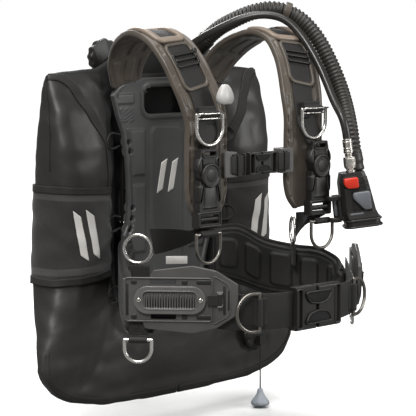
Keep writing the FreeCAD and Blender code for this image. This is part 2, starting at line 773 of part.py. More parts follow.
def coupler_sleeve():
    """The knurled sleeve that is pulled back to let go of the inflator."""
    low = inflator_height / 2 + 7
    outer = Part.makeCylinder(8.5, 17, V(-5, -11, low))
    inner = Part.makeCylinder(5.25, 19, V(-5, -11, low - 1))
    return at_inflator(outer.cut(inner))


def supply_fitting():
    """The crimp, nut and thread at the regulator end of the supply hose."""
    end, after = [V(*p) for p in hose_routes()[1][:2]]
    away = (end - after).normalize()
    crimp = rod(end, end + away * 9, supply_diameter / 2 + 1.4)
    thread = rod(end + away * 9, end + away * 22, 5.5)
    side = away.cross(V(0, 0, 1)).normalize()
    corners = [away.cross(side) * math.sin(i * math.pi / 3) + side * math.cos(i * math.pi / 3)
               for i in range(6)]
    nut = loft([[end + away * reach + c * fitting_nut for c in corners] for reach in (10, 15)])
    return crimp.fuse([thread, nut])


def hose_elbow():
    """The elbow that joins the breathing hose to the top of the air cell."""
    end, after = [V(*p) for p in hose_routes()[0][:2]]
    along = (after - end).normalize()
    flange = rod(V(end.x, sheet_back_y + 0.5, 222), V(end.x, sheet_back_y + 9, 222), 22)
    return flange.fuse(rod(end - along * 22, end, hose_diameter / 2 + 1.5))


def hose_keepers():
    """Bands that hold the hoses on top of the left shoulder."""
    breathing, supply = hose_routes()
    a, b = V(*breathing[4]), V(*breathing[5])
    middle = a * 0.5 + b * 0.5
    along = (b - a).normalize()
    ring = rod(middle - along * 5, middle + along * 5, hose_diameter / 2 + 2.5)
    return ring.cut(rod(middle - along * 8, middle + along * 8, hose_diameter / 2 + 0.3))


# ---- dump valves ----------------------------------------------------------------------------
def dump_valve_at(x, z, y, direction, depth):
    """A round valve cover standing on the air cell."""
    base = Part.makeCylinder(dump_radius, depth * 0.55, V(x, y, z), V(0, direction, 0))
    top_y = y + direction * depth * 0.55
    dome = Part.makeCone(dump_radius, dump_radius * 0.72, depth * 0.45, V(x, top_y, z), V(0, direction, 0))
    return base.fuse(dome)


pull_at = (dump_valve[0], cell_low_front_y - dump_depth - 5.5)
guide_top = dump_valve[1] - 2.0
guide_height = 15.0
pull_knob_top = -303.0


def pull_cord():
    """The cord, from inside its guide down to the knob."""
    x, y = pull_at
    return rod(V(x, y, pull_knob_top), V(x, y, guide_top - 1), pull_cord_diameter / 2)


def pull_knob(x, y, top_z, radius, height):
    """A skirted knob with its narrow end up."""
    upper = Part.makeCone(radius * 0.32, radius, height * 0.72, V(x, y, top_z), V(0, 0, -1))
    lower = Part.makeCone(radius, radius * 0.8, height * 0.28, V(x, y, top_z - height * 0.72), V(0, 0, -1))
    return upper.fuse(lower)


def cord_guide():
    """The eyelet on the valve cover that the pull cord slides in."""
    x, y = pull_at
    low = guide_top - guide_height
    guide = box(x - 4, x + 4, y - 3.5, cell_low_front_y - dump_depth + 2, low, guide_top)
    return guide.cut(rod(V(x, y, low - 1), V(x, y, guide_top + 1), pull_cord_diameter / 2 + 0.35))


# ---- build ----------------------------------------------------------------------------------
def main():
    os.makedirs("parts", exist_ok=True)

    save("air_cell", air_cell())
    save("backplate", backplate())
    save("back_pad", back_pad())
    save("tank_band_upper", tank_band(0))
    save("tank_band_lower", tank_band(-band_spacing))
    save("cam_frames", at_cam(cam_frame(), 0), at_cam(cam_frame(), -band_spacing))
    save("cam_lever_upper", at_cam(cam_lever(), 0))
    save("cam_lever_lower", at_cam(cam_lever(), -band_spacing))

    pairs = {
        "lumbar_pad": [lumbar_pad()],
        "shoulder_pad": [shoulder_pad()],
        "swivel_buckle": [swivel_buckle()],
        "hip_plate": [at_hip(hip_plate().fuse(latch_bracket()))],
        "hip_latch": [at_hip(hip_latch())],
        "shoulder_ring": [placed(d_ring(*shoulder_ring, ring_wire), shoulder_ring_at, (1, 0, 0), (0, 1, 0))],
        "lower_ring": [placed(d_ring(*lower_ring, ring_wire), lower_ring_at, (1, 0, 0), (0, 1, 0))],
        "waist_ring": [waist_ring_shape()],
        "hip_ring": [at_hip(placed(d_ring(*hip_ring, ring_wire), hip_ring_local, (1, 0, 0), (0, 1, 0)))],
    }
    for name, shapes in pairs.items():
        save(name + "_left", *shapes)
        save(name + "_right", *[mirrored(s) for s in shapes])

    both = {
        "shoulder_straps": [shoulder_strap()],
        "lower_straps": [lower_strap()],
        "waist_belts": [waist_belt()],
        "ladder_locks": [ladder_lock()],
        "strap_frames": strap_frames(),
        "strap_rings": [strap_ring()],
        "ring_tabs": ring_tabs(),
        "ribbed_catches": [at_hip(ribbed_catch())],
        "catch_screws": [at_hip(s) for s in catch_screws()],
    }
    for name, shapes in both.items():
        save(name, *shapes, *[mirrored(s) for s in shapes])

    slider = chest_slider()
    save("chest_sliders", slider, mirrored(slider))
    band = chest_band()
    save("chest_webbing", band, mirrored(band))
    socket, plug = side_buckle(chest_buckle, chest_y(), chest_z, 0.5)
    save("chest_buckle_socket", socket)
    save("chest_buckle_plug", plug)
    socket, plug = side_buckle(waist_buckle, waist_buckle_y, waist_z, 0.5)
    save("waist_buckle_socket", socket)
    save("waist_buckle_plug", plug)

    save("inflator_body", at_inflator(inflator_body()))
    save("inflator_mouthpiece", at_inflator(mouthpiece()))
    save("inflator_holder", at_inflator(inflator_holder()))
    save("inflate_button", at_inflator(button("inflate", 0, 6.0)))
    save("deflate_button", at_inflator(button("deflate", 0, 6.0)))
    save("hose_cuff", hose_cuff())
    save("coupler_body", coupler_body())
    save("coupler_sleeve", coupler_sleeve())
    save("hose_elbow", hose_elbow())
    save("supply_fitting", supply_fitting())
    save("hose_keeper", hose_keepers())
    breathing, supply = hose_routes()
    save("breathing_hose", tube(breathing, hose_diameter, "breathing_hose"))
    save("supply_hose", tube(supply, supply_diameter, "supply_hose"))

    x, z = dump_valve
    valve = dump_valve_at(x, z, cell_low_front_y - 0.3, -1, dump_depth)
    save("dump_valve_lower", valve.fuse(cord_guide()))
    save("dump_valve_shoulder", dump_valve_at(-95, 222, sheet_back_y + 0.3, 1, dump_depth))
    x, y = pull_at
    save("dump_pull_cord", pull_cord())
    save("dump_pull_lower", pull_knob(x, y, pull_knob_top, pull_knob_radius, pull_knob_height))
    save("dump_pull_shoulder", pull_knob(*shoulder_pull_at, shoulder_pull_radius, pull_knob_height))


main()
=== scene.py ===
"""The looks of a diver's buoyancy compensator vest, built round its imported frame.

Frame: +X is the wearer's left, -Y the front, +Z up. Shapes are worked out in millimetres
and put into their meshes in metres.
"""
import bmesh
import bpy
import numpy as np
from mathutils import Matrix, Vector
from mathutils.bvhtree import BVHTree


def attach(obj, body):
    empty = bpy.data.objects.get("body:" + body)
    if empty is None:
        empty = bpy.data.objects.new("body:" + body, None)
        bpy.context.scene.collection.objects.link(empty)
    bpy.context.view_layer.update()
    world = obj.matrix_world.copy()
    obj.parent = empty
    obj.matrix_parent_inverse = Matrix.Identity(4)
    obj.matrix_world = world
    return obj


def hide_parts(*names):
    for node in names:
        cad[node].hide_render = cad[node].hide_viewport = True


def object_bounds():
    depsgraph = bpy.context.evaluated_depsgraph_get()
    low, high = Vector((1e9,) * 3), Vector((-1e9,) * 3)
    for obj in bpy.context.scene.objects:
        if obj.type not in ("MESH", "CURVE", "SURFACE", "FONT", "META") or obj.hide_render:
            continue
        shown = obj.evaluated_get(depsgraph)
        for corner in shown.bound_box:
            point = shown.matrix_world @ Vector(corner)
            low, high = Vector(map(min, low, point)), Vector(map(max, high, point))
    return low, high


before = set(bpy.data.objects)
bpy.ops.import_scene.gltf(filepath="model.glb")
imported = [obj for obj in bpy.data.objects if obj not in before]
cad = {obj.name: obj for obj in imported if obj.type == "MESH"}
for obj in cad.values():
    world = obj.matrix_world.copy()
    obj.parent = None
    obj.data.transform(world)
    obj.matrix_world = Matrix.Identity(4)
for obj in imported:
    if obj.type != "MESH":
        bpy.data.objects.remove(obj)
cad_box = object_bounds()

# ---- Camera, light and floor ------------------------------------------------------------------
# A long lens in front of the wearer's right shoulder, a little above the vest's middle.
# A pale matte floor under one broad overhead sun, with a soft key, a fill and a rear light.
def linear(code):
    """sRGB hex to linear light: c / 12.92 at the dark end, else ((c + 0.055) / 1.055) ^ 2.4."""
    c = np.array([int(code[i:i + 2], 16) for i in (1, 3, 5)]) / 255
    c = np.where(c <= 0.04045, c / 12.92, ((c + 0.055) / 1.055) ** 2.4)
    return (*map(float, c), 1.0)


def add(tree, kind, settings, inputs):
    """Adds a node with its settings; an input is a plain value or another node's output."""
    node = tree.nodes.new(kind)
    for name, value in settings.items():
        setattr(node, name, value)
    for key, value in inputs.items():
        if isinstance(value, bpy.types.NodeSocket):
            tree.links.new(value, node.inputs[key])
        else:
            node.inputs[key].default_value = value
    return node


def bare_material(name):
    """A material with only its output, and the node tree to fill."""
    material = bpy.data.materials.new(name)
    material.use_nodes = True
    material.node_tree.nodes.clear()
    return material, material.node_tree


def surface_of(tree, shader):
    add(tree, "ShaderNodeOutputMaterial", {}, {"Surface": shader.outputs["BSDF"]})


scene = bpy.context.scene
target = Vector((0, -0.22, 0))
azimuth, elevation = np.radians(-43.0), np.radians(6.5)
back = Vector((np.sin(azimuth) * np.cos(elevation), -np.cos(azimuth) * np.cos(elevation),
               np.sin(elevation)))
camera = bpy.data.objects.new("camera", bpy.data.cameras.new("camera"))
camera.data.lens = 146.6
camera.data.clip_end = 100
camera.location = target + back * 2.5
camera.rotation_mode = "QUATERNION"
camera.rotation_quaternion = (-back).to_track_quat("-Z", "Y")
scene.collection.objects.link(camera)
scene.camera = camera

for name, at, size, power in (("key", (-2.3, -1.7, 2.0), 0.9, 70), ("fill", (1.4, -2.4, 0.7), 0.9, 26),
                              ("rear", (1.4, 2.2, 1.6), 1.2, 45), ("sun", (-0.5, -0.3, 3.0), 0, 3.1)):
    light = bpy.data.objects.new(name, bpy.data.lights.new(name, "AREA" if size else "SUN"))
    light.data.energy = power
    if size:
        light.data.size = size
    else:
        light.data.angle = np.radians(50)
    light.location = at
    light.rotation_mode = "QUATERNION"
    light.rotation_quaternion = (target - Vector(at)).to_track_quat("-Z", "Y")
    scene.collection.objects.link(light)

world = bpy.data.worlds.new("studio")
world.use_nodes = True
world.node_tree.nodes.clear()
seen = add(world.node_tree, "ShaderNodeLightPath", {}, {})
glow = add(world.node_tree, "ShaderNodeMapRange", {}, {"Value": seen.outputs["Is Camera Ray"],
                                                      "To Min": 0.2, "To Max": 1.0})
sky = add(world.node_tree, "ShaderNodeBackground", {},
          {"Color": linear("#ffffff"), "Strength": glow.outputs[0]})
add(world.node_tree, "ShaderNodeOutputWorld", {}, {"Surface": sky.outputs["Background"]})
scene.world = world
scene.view_settings.view_transform = "Standard"

# the paper is white where it is seen, and returns little light to the vest, like a studio's dark room
paper, tree = bare_material("matte_paper_floor")
seen = add(tree, "ShaderNodeLightPath", {}, {})
shade = add(tree, "ShaderNodeMix", {"data_type": "RGBA"},
            {0: seen.outputs["Is Camera Ray"], 6: linear("#6f6f6e"), 7: linear("#fcfcfb")})
surface_of(tree, add(tree, "ShaderNodeBsdfPrincipled", {},
                     {"Base Color": shade.outputs[2], "Roughness": 0.9}))
floor_z = cad_box[0].z - 0.002
floor = bpy.data.meshes.new("floor")
floor.from_pydata([(x, y, floor_z) for x, y in ((-30, -30), (30, -30), (30, 30), (-30, 30))],
                  [], [(0, 1, 2, 3)])
floor.materials.append(paper)
floor = bpy.data.objects.new("floor", floor)
scene.collection.objects.link(floor)

# ---- Breathing hose ---------------------------------------------------------------------------
# The corrugated hose from the air cell's elbow to the inflator. Moulded rubber, 25 mm
# across, with a round ring every 6 mm so that it bends without kinking.
hose_diameter, ring_pitch, ring_depth = 25.0, 6.0, 2.0
breathing_route = [(98, -112, 246), (99, -134, 262), (102, -166, 275), (113, -196, 288),
                   (136, -222, 294), (163, -246, 281), (181, -268, 250), (190, -290, 208),
                   (192, -311, 165), (164.66, -353.08, 111.88), (167.66, -355.57, 80.12)]


def route_curve(name, route, radius=0.0):
    """A smooth NURBS line with the route's points as its control points."""
    curve = bpy.data.curves.new(name, "CURVE")
    curve.dimensions = "3D"
    curve.resolution_u = 12
    spline = curve.splines.new("NURBS")
    spline.points.add(len(route) - 1)
    for point, place in zip(spline.points, route):
        point.co = (*(0.001 * np.array(place)), 1)
    spline.order_u = 3
    spline.use_endpoint_u = True
    curve.bevel_depth = 0.001 * radius
    curve.bevel_resolution = 6
    curve.use_fill_caps = True
    thing = bpy.data.objects.new(name, curve)
    scene.collection.objects.link(thing)
    return thing


def line_of(route):
    """The points of the route's NURBS line, in millimetres."""
    probe = route_curve("probe", route)
    bpy.context.view_layer.update()
    mesh = bpy.data.meshes.new_from_object(probe.evaluated_get(bpy.context.evaluated_depsgraph_get()))
    points = np.empty(len(mesh.vertices) * 3)
    mesh.vertices.foreach_get("co", points)
    bpy.data.objects.remove(probe)
    return points.reshape(-1, 3) * 1000


def evenly(points, count):
    """count points at equal distances along a line of points."""
    s = np.r_[0, np.cumsum(np.linalg.norm(np.diff(points, axis=0), axis=1))]
    q = np.linspace(0, s[-1], count)
    return np.stack([np.interp(q, s, points[:, k]) for k in range(points.shape[1])], 1)


def swept(path, across, profile, closed=False):
    """A profile carried along a path: point (u, v) goes to path + wide u + thick v, where wide
    is across made square to the path, and thick is square to both."""
    path, across = np.asarray(path, float), np.asarray(across, float)
    t = (np.roll(path, -1, 0) - np.roll(path, 1, 0)) if closed else np.gradient(path, axis=0)
    t /= np.linalg.norm(t, axis=1, keepdims=True)
    wide = across - t * np.sum(across * t, 1, keepdims=True)
    wide /= np.linalg.norm(wide, axis=1, keepdims=True)
    thick = np.cross(t, wide)
    profile = np.broadcast_to(profile, (len(path), *np.shape(profile)[-2:]))
    return path[:, None] + wide[:, None] * profile[..., :1] + thick[:, None] * profile[..., 1:]


def run_of(grid, axis):
    """Distance along a grid's rows or columns, averaged over the other way, in metres."""
    steps = np.linalg.norm(np.diff(grid, axis=axis), axis=2).mean(1 - axis)
    return 0.001 * np.r_[0, np.cumsum(steps)]


def piece(name, grid, material, body, round_rows=False,
          round_cols=True, caps=True, side=1, smooth=True):
    """Puts a grid of points, rows by columns, in millimetres, into a new object's mesh.

    round_rows and round_cols join the last row or column to the first; caps close the ends of
    a tube. The UV map holds real distances in metres: u along the columns, v along the rows.
    """
    grid = np.array(grid, float) * (side, 1, 1)
    rows, cols = grid.shape[:2]
    i = np.arange(rows if round_rows else rows - 1)[:, None]
    j = np.arange(cols if round_cols else cols - 1)[None, :]
    corners = [(i, j), (i, j + 1), (i + 1, j + 1), (i + 1, j)]
    faces = np.stack([np.broadcast_to(a % rows * cols + b % cols, (i.size, j.size))
                      for a, b in corners], -1).reshape(-1, 4)
    full = np.concatenate([grid, grid[:1]], 0) if round_rows else grid
    full = np.concatenate([full, full[:, :1]], 1) if round_cols else full
    u, v = run_of(full, 1), run_of(full, 0)
    uv = np.stack([np.stack(np.broadcast_arrays(u[b], v[a]), -1) for a, b in corners], -2)
    faces = faces.tolist()
    extra = []
    if caps and round_cols and not round_rows:
        extra = [list(range(cols))[::-1], list(range((rows - 1) * cols, rows * cols))]
    mesh = bpy.data.meshes.new(name)
    mesh.from_pydata((grid.reshape(-1, 3) * 0.001).tolist(), [], faces + extra)
    layer = mesh.uv_layers.new(name="UVMap")
    flat = np.zeros((len(mesh.loops), 2))
    flat[:len(faces) * 4] = uv.reshape(-1, 2)
    layer.data.foreach_set("uv", flat.ravel())
    mesh.polygons.foreach_set("use_smooth", [smooth] * len(mesh.polygons))
    mesh.materials.append(material)
    thing = bpy.data.objects.new(name, mesh)
    scene.collection.objects.link(thing)
    outward(thing)
    if body:
        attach(thing, body)
    return thing


def outward(thing):
    """Turns every face of a mesh to point out of it."""
    work = bmesh.new()
    work.from_mesh(thing.data)
    bmesh.ops.recalc_face_normals(work, faces=work.faces)
    work.to_mesh(thing.data)
    work.free()


def crisp(thing, angle=40):
    """Shades a mesh smooth except across edges sharper than the angle, in degrees."""
    thing.data.shade_smooth() if hasattr(thing.data, "shade_smooth") else None
    thing.data.set_sharp_from_angle(angle=np.radians(angle))
    return thing


def ring_profile(radius, sides=24):
    """A circle of points; radius may hold one value for each row."""
    turn = np.linspace(0, 2 * np.pi, sides, endpoint=False)
    return np.asarray(radius, float)[..., None, None] * np.stack([np.cos(turn), np.sin(turn)], -1)


def moulded(name, base, worn, roughness, grain, depth, sheen=0.0):
    """Moulded rubber or plastic on Object coordinates: a colour that drifts to a worn one over
    some centimetres, and a fine grain of the mould, grain in millimetres, as a bump."""
    material, tree = bare_material(name)
    place = add(tree, "ShaderNodeTexCoord", {}, {}).outputs["Object"]
    drift = add(tree, "ShaderNodeTexNoise", {}, {"Vector": place, "Scale": 28.0, "Detail": 4.0})
    colour = add(tree, "ShaderNodeMix", {"data_type": "RGBA"},
                 {0: drift.outputs["Fac"], 6: linear(base), 7: linear(worn)})
    mould = add(tree, "ShaderNodeTexNoise", {}, {"Vector": place,
                                                 "Scale": 1000 / grain, "Detail": 2.0})
    gloss = add(tree, "ShaderNodeMapRange", {}, {"Value": drift.outputs["Fac"],
                                                 "To Min": roughness - 0.06,
                                                 "To Max": roughness + 0.08})
    bump = add(tree, "ShaderNodeBump", {}, {"Height": mould.outputs["Fac"], "Strength": 0.6,
                                           "Distance": 0.001 * depth})
    shader = add(tree, "ShaderNodeBsdfPrincipled", {},
                 {"Base Color": colour.outputs[2], "Roughness": gloss.outputs["Result"],
                  "Normal": bump.outputs["Normal"], "IOR": 1.5, "Sheen Weight": sheen})
    surface_of(tree, shader)
    return material


# EPDM rubber straight from the mould: dark, satin, a little dusty on the rings' tops
hose_rubber = moulded("moulded_epdm_rubber", "#26231f", "#3a3632", 0.42, 1.2, 0.08)

line = line_of(breathing_route)
length = np.linalg.norm(np.diff(line, axis=0), axis=1).sum()
rings = round(length / ring_pitch)
path = evenly(line, rings * 8 + 1)
wave = 0.5 - 0.5 * np.cos(2 * np.pi * np.arange(len(path)) / 8)
plain = np.minimum(1, np.minimum(np.arange(len(path)), np.arange(len(path))[::-1]) / 10)
radius = hose_diameter / 2 - ring_depth * (1 - wave ** 0.7) * plain
hose = piece("breathing_hose_rings", swept(path, np.tile((1.0, 0.9, 0.0), (len(path), 1)),
                                           ring_profile(radius)),
             hose_rubber, "harness")
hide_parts("breathing_hose")

# the bell-shaped cuff that grips the inflator's spigot: soft rubber with two rolled rims
lean = np.radians(7.0)
level = np.array((0.77, -0.64, 0)) / np.hypot(0.77, 0.64)
inflator_up = np.array((0, 0, np.cos(lean))) - level * np.sin(lean)
inflator_side = level * np.cos(lean) + np.array((0, 0, np.sin(lean)))
inflator_back = np.cross(inflator_up, inflator_side)
inflator_axes = np.stack([inflator_side, inflator_back, inflator_up])
inflator_at = np.array((163.0, -366.0, 14.0))


def at_inflator(points):
    """From the inflator's own frame: x to its side, y towards its back, z up along it."""
    return inflator_at + np.asarray(points, float) @ inflator_axes


def turned(heights, radii, centre=(0, 0), sides=32):
    """A lathe shape: at each height a circle of that radius round an upright line."""
    rings = ring_profile(np.asarray(radii, float), sides)
    tall = np.broadcast_to(np.asarray(heights, float)[:, None, None], (*rings.shape[:2], 1))
    return np.concatenate([rings + np.asarray(centre), tall], -1)


heights = np.array((40.3, 41.0, 44.0, 46.5, 47.5, 51.0, 53.5, 55.0, 58.0, 62.0, 65.0, 66.0, 66.3))
radii = np.array((12.6, 13.6, 13.9, 13.4, 12.9, 12.9, 13.4, 13.9, 13.5, 12.9, 13.2, 12.9, 12.4))
cuff = piece("hose_bell_cuff", at_inflator(turned(heights, radii, (5, 11))), hose_rubber,
             "harness")
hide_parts("hose_cuff")

# ---- Supply hose ------------------------------------------------------------------------------
# The low-pressure hose that feeds the inflator: smooth extruded rubber, 12 mm across, with a
# chrome crimp, nut and thread at the regulator end and a quick coupler at the other.
supply_route = [(41, -134, 236), (47, -152, 248), (60, -178, 262), (80, -206, 278),
                (103, -232, 285), (125, -256, 278), (137, -279, 252), (142, -303, 218),
                (143, -323, 185), (142, -340, 155), (141.28, -362.25, 128.53),
                (143.69, -364.25, 103.02)]
# extruded nitrile rubber: smoother than the moulded hose, with a soft highlight along it
smooth_rubber = moulded("extruded_nitrile_rubber", "#211f1c", "#33302c", 0.3, 2.5, 0.03)
supply = route_curve("supply_hose_line", supply_route, 6.0)
supply.data.materials.append(smooth_rubber)
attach(supply, "harness")
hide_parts("supply_hose")
supply_length = np.linalg.norm(np.diff(line_of(supply_route), axis=0), axis=1).sum()


def softened(node, material, width=0.6, angle=35):
    """Gives a CAD node its material, and edges rounded by a bevel, width in millimetres."""
    thing = cad[node]
    thing.data.materials.clear()
    thing.data.materials.append(material)
    weld = thing.modifiers.new("weld", "WELD")
    weld.merge_threshold = 0.00001
    flat = thing.modifiers.new("flat", "DECIMATE")
    flat.decimate_type, flat.angle_limit = "DISSOLVE", np.radians(2)
    bevel = thing.modifiers.new("bevel", "BEVEL")
    bevel.width, bevel.segments = 0.001 * width, 2
    bevel.limit_method, bevel.angle_limit = "ANGLE", np.radians(angle)
    bevel.harden_normals = False
    thing.modifiers.new("shade", "WEIGHTED_NORMAL").keep_sharp = True
    return thing


def metal(name, base, roughness, scratch):
    """Polished or dark metal: bare reflection, with a roughness that drifts over fine
    scratches of the given spacing in millimetres."""
    material, tree = bare_material(name)
    place = add(tree, "ShaderNodeTexCoord", {}, {}).outputs["Object"]
    marks = add(tree, "ShaderNodeTexNoise", {},
                {"Vector": place, "Scale": 1000 / scratch, "Detail": 3.0})
    gloss = add(tree, "ShaderNodeMapRange", {}, {"Value": marks.outputs["Fac"],
                                                "To Min": roughness * 0.7, "To Max": roughness * 1.5})
    shader = add(tree, "ShaderNodeBsdfPrincipled", {},
                 {"Base Color": linear(base), "Metallic": 1.0, "Roughness": gloss.outputs["Result"]})
    surface_of(tree, shader)
    return material


# nickel-chrome plated brass: bright, slightly warm, polished
chrome = metal("chrome_plated_brass", "#e9e4dc", 0.2, 4.0)
fitting = ["supply_fitting"] if "supply_fitting" in cad else []
for name in fitting:
    softened(name, chrome, 0.3)
for name in ("coupler_body", "coupler_sleeve"):
    softened(name, chrome, 0.4)

# ---- Dump pull cord ---------------------------------------------------------------------------
# The thin cord that opens the lower dump valve: braided polyester, 2.2 mm, running out of an
# eyelet on the valve into a moulded knob with a skirt of shallow scallops.
pull_x, pull_y = 157.0, -172.5
pull_route = [(pull_x, pull_y, -219), (pull_x, pull_y, -240),
              (pull_x, pull_y, -270), (pull_x, pull_y, -303)]
# braided polyester: near black, matte
cord_braid = moulded("braided_polyester_cord", "#1c1a18", "#2c2926", 0.7, 0.8, 0.2)
pull = route_curve("dump_pull_line", pull_route, 1.1)
pull.data.materials.append(cord_braid)
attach(pull, "dump_pull_lower")
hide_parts("dump_pull_cord")


def pull_knob(name, at, radius, height, material, body):
    """A bell-shaped knob: its radius grows down to the skirt, which has eight scallops, as
    radius (1 + 0.06 cos 8a), and closes below."""
    s = np.array((0, 0.02, 0.06, 0.15, 0.3, 0.45, 0.6, 0.72, 0.8, 0.86, 0.93, 0.98, 1.0))
    r = np.array((0.2, 0.27, 0.3, 0.31, 0.4, 0.58, 0.8, 0.95, 0.99, 0.97, 0.88, 0.7, 0.3))
    turn = np.linspace(0, 2 * np.pi, 64, endpoint=False)
    skirt = np.clip((s - 0.3) / 0.4, 0, 1)[:, None]
    reach = radius * r[:, None] * (1 - 0.05 * skirt * (1 - np.cos(8 * turn)) / 2)
    grid = np.stack([at[0] + reach * np.cos(turn), at[1] + reach * np.sin(turn),
                     np.broadcast_to((at[2] - height * s)[:, None], reach.shape)], -1)
    return piece(name, grid, material, body)


# glass-filled acetal, moulded: pale blue grey, satin
knob_blue = moulded("moulded_acetal_blue_grey", "#9aa2ab", "#b4bac0", 0.38, 1.6, 0.05)
knob = pull_knob("dump_pull_knob", (pull_x, pull_y, -303),
                 15.0, 28.0, knob_blue, "dump_pull_lower")
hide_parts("dump_pull_lower")

# ---- Air cell ---------------------------------------------------------------------------------
# The bladder in its sewn cover: coated nylon panels at the sides and below, black lining cloth
# next to the plate and behind. It is slack, so it swells a little and its panels sag.
def with_modifiers(thing):
    """Puts the result of a thing's modifiers into its mesh."""
    bpy.context.view_layer.update()
    mesh = bpy.data.meshes.new_from_object(thing.evaluated_get(bpy.context.evaluated_depsgraph_get()))
    thing.modifiers.clear()
    thing.data = mesh
    return thing


def shell_of(node, name, voxel):
    """A copy of a CAD node's solid as an even mesh of small squares, voxel in millimetres."""
    thing = bpy.data.objects.new(name, cad[node].data.copy())
    scene.collection.objects.link(thing)
    work = bmesh.new()
    work.from_mesh(thing.data)
    bmesh.ops.remove_doubles(work, verts=work.verts, dist=0.00001)
    work.to_mesh(thing.data)
    work.free()
    remesh = thing.modifiers.new("remesh", "REMESH")
    remesh.mode, remesh.voxel_size = "VOXEL", 0.001 * voxel
    even = thing.modifiers.new("even", "SMOOTH")
    even.factor, even.iterations = 0.5, 6
    return with_modifiers(thing)


def places(mesh):
    """The mesh's points as an array of rows, in metres."""
    points = np.empty(len(mesh.vertices) * 3)
    mesh.vertices.foreach_get("co", points)
    return points.reshape(-1, 3)


def swell(thing, pressure, cap, held):
    """Cloth blown up from inside for 20 frames; no point moves more than cap, in millimetres,
    and held(points) says from 0 to 1 how firmly each point stays."""
    rest = places(thing.data)
    firm = held(rest * 1000)
    group = thing.vertex_groups.new(name="held")
    for level in np.unique(np.round(firm, 1)):
        chosen = np.flatnonzero(np.abs(np.round(firm, 1) - level) < 0.01).tolist()
        group.add(chosen, float(level), "REPLACE")
    cloth = thing.modifiers.new("cloth", "CLOTH")
    cloth.settings.quality = 4
    cloth.settings.mass = 0.3
    cloth.settings.use_pressure, cloth.settings.uniform_pressure_force = True, pressure
    cloth.settings.effector_weights.gravity = 0
    cloth.settings.vertex_group_mass = "held"
    cloth.settings.pin_stiffness = 1.0
    cloth.settings.bending_stiffness = 0.5
    for moment in range(1, 21):
        scene.frame_set(moment)
    with_modifiers(thing)
    thing.vertex_groups.clear()
    scene.frame_set(1)
    moved = places(thing.data) - rest
    far = np.linalg.norm(moved, axis=1, keepdims=True)
    moved *= np.minimum(1, 0.001 * cap / np.maximum(far, 1e-9)) * (1 - firm[:, None])
    thing.data.vertices.foreach_set("co", (rest + moved).ravel())
    thing.data.update()
    return thing


def creased(points, normals, size, depth, seed):
    """Soft creases: three sine sheets at odd angles, multiplied, pushed along the normals."""
    turns = np.random.default_rng(seed).normal(size=(3, 3))
    phase = points @ (turns.T * 2 * np.pi / size)
    return points + normals * (depth * np.sin(phase).prod(1))[:, None]


cell = shell_of("air_cell", "air_cell_cover", 5.0)
even = cell.modifiers.new("rounder", "SMOOTH")
even.factor, even.iterations = 0.5, 14
with_modifiers(cell)


def cell_held(p):
    """Firm under the plate, at the bands and at the hem; free over the lobes and the panel."""
    middle = np.clip((104 - np.abs(p[:, 0])) / 12, 0, 1) * (p[:, 2] > -140)
    hem = np.clip((-255 - p[:, 2]) / 15, 0, 1)
    top = np.clip((p[:, 2] - 192) / 10, 0, 1)
    valve = np.clip(1.6 - np.hypot(p[:, 0] - 157, p[:, 2] + 216) / 24, 0, 1) * (p[:, 1] < -130)
    return np.max([middle, hem, top, valve], 0)


swell(cell, 4.0, 6.0, cell_held)
place = places(cell.data) * 1000
normal = np.empty(len(place) * 3)
cell.data.vertices.foreach_get("normal", normal)
loose = np.clip((np.abs(place[:, 0]) - 84) / 14, 0, 1) * (place[:, 2] < 204)
fold = creased(place, normal.reshape(-1, 3), 150.0, 1.6, 4) - place
fold += creased(place, normal.reshape(-1, 3), 62.0, 0.7, 9) - place
inner = np.exp(-((np.abs(place[:, 0]) - 108) / 13) ** 2) * (place[:, 2] > -120)
ripple = np.sin(place[:, 2] / 8.5 + 2.2 * np.sin(place[:, 2] / 37 + place[:, 0] / 21))
fold += normal.reshape(-1, 3) * (inner * 1.8 * ripple)[:, None]
cell.data.vertices.foreach_set("co", (0.001 * (place + fold * loose[:, None])).ravel())
cell.data.polygons.foreach_set("use_smooth", [True] * len(cell.data.polygons))
cell.data.update()

# Nylon with a polyurethane coat on its face: smooth and satin, dark warm grey, with soft
# dents where the panel buckles, their hollows painted darker as painted shade. The lining is
# uncoated black nylon, matte.
coated, tree = bare_material("coated_nylon")
spot = add(tree, "ShaderNodeTexCoord", {}, {}).outputs["Object"]
axes = add(tree, "ShaderNodeSeparateXYZ", {}, {"Vector": spot})
wide = add(tree, "ShaderNodeMath", {"operation": "ABSOLUTE"}, {0: axes.outputs["X"]})
side_panel = add(tree, "ShaderNodeMapRange", {},
                 {"Value": wide.outputs[0], "From Min": 0.1165, "From Max": 0.1195})
low_panel = add(tree, "ShaderNodeMapRange", {},
                {"Value": axes.outputs["Z"], "From Min": -0.137, "From Max": -0.142})
panel = add(tree, "ShaderNodeMath", {"operation": "MAXIMUM"},
            {0: side_panel.outputs[0], 1: low_panel.outputs[0]})
below_top = add(tree, "ShaderNodeMapRange", {},
                {"Value": axes.outputs["Z"], "From Min": 0.199, "From Max": 0.196})
outer = add(tree, "ShaderNodeMath", {"operation": "MULTIPLY"},
            {0: panel.outputs[0], 1: below_top.outputs[0]})
dent = add(tree, "ShaderNodeTexNoise", {}, {"Vector": spot,
                                            "Scale": 16.0, "Detail": 3.0, "Roughness": 0.45})
grain = add(tree, "ShaderNodeTexVoronoi", {}, {"Vector": spot, "Scale": 700.0})
# painted shade: the colour follows the dents' height, darker in their hollows and paler on their
# crowns
dent_shade_tone = add(tree, "ShaderNodeMix", {"data_type": "RGBA"},
           {0: dent.outputs["Fac"], 6: linear("#232220"), 7: linear("#33312e")})
colour = add(tree, "ShaderNodeMix", {"data_type": "RGBA"},
             {0: outer.outputs[0], 6: linear("#0d0c0b"), 7: dent_shade_tone.outputs[2]})
gloss = add(tree, "ShaderNodeMapRange", {}, {"Value": outer.outputs[0],
                                             "To Min": 0.75, "To Max": 0.44})
soft = add(tree, "ShaderNodeBump", {}, {"Height": dent.outputs["Fac"],
                                        "Strength": 0.5, "Distance": 0.006})
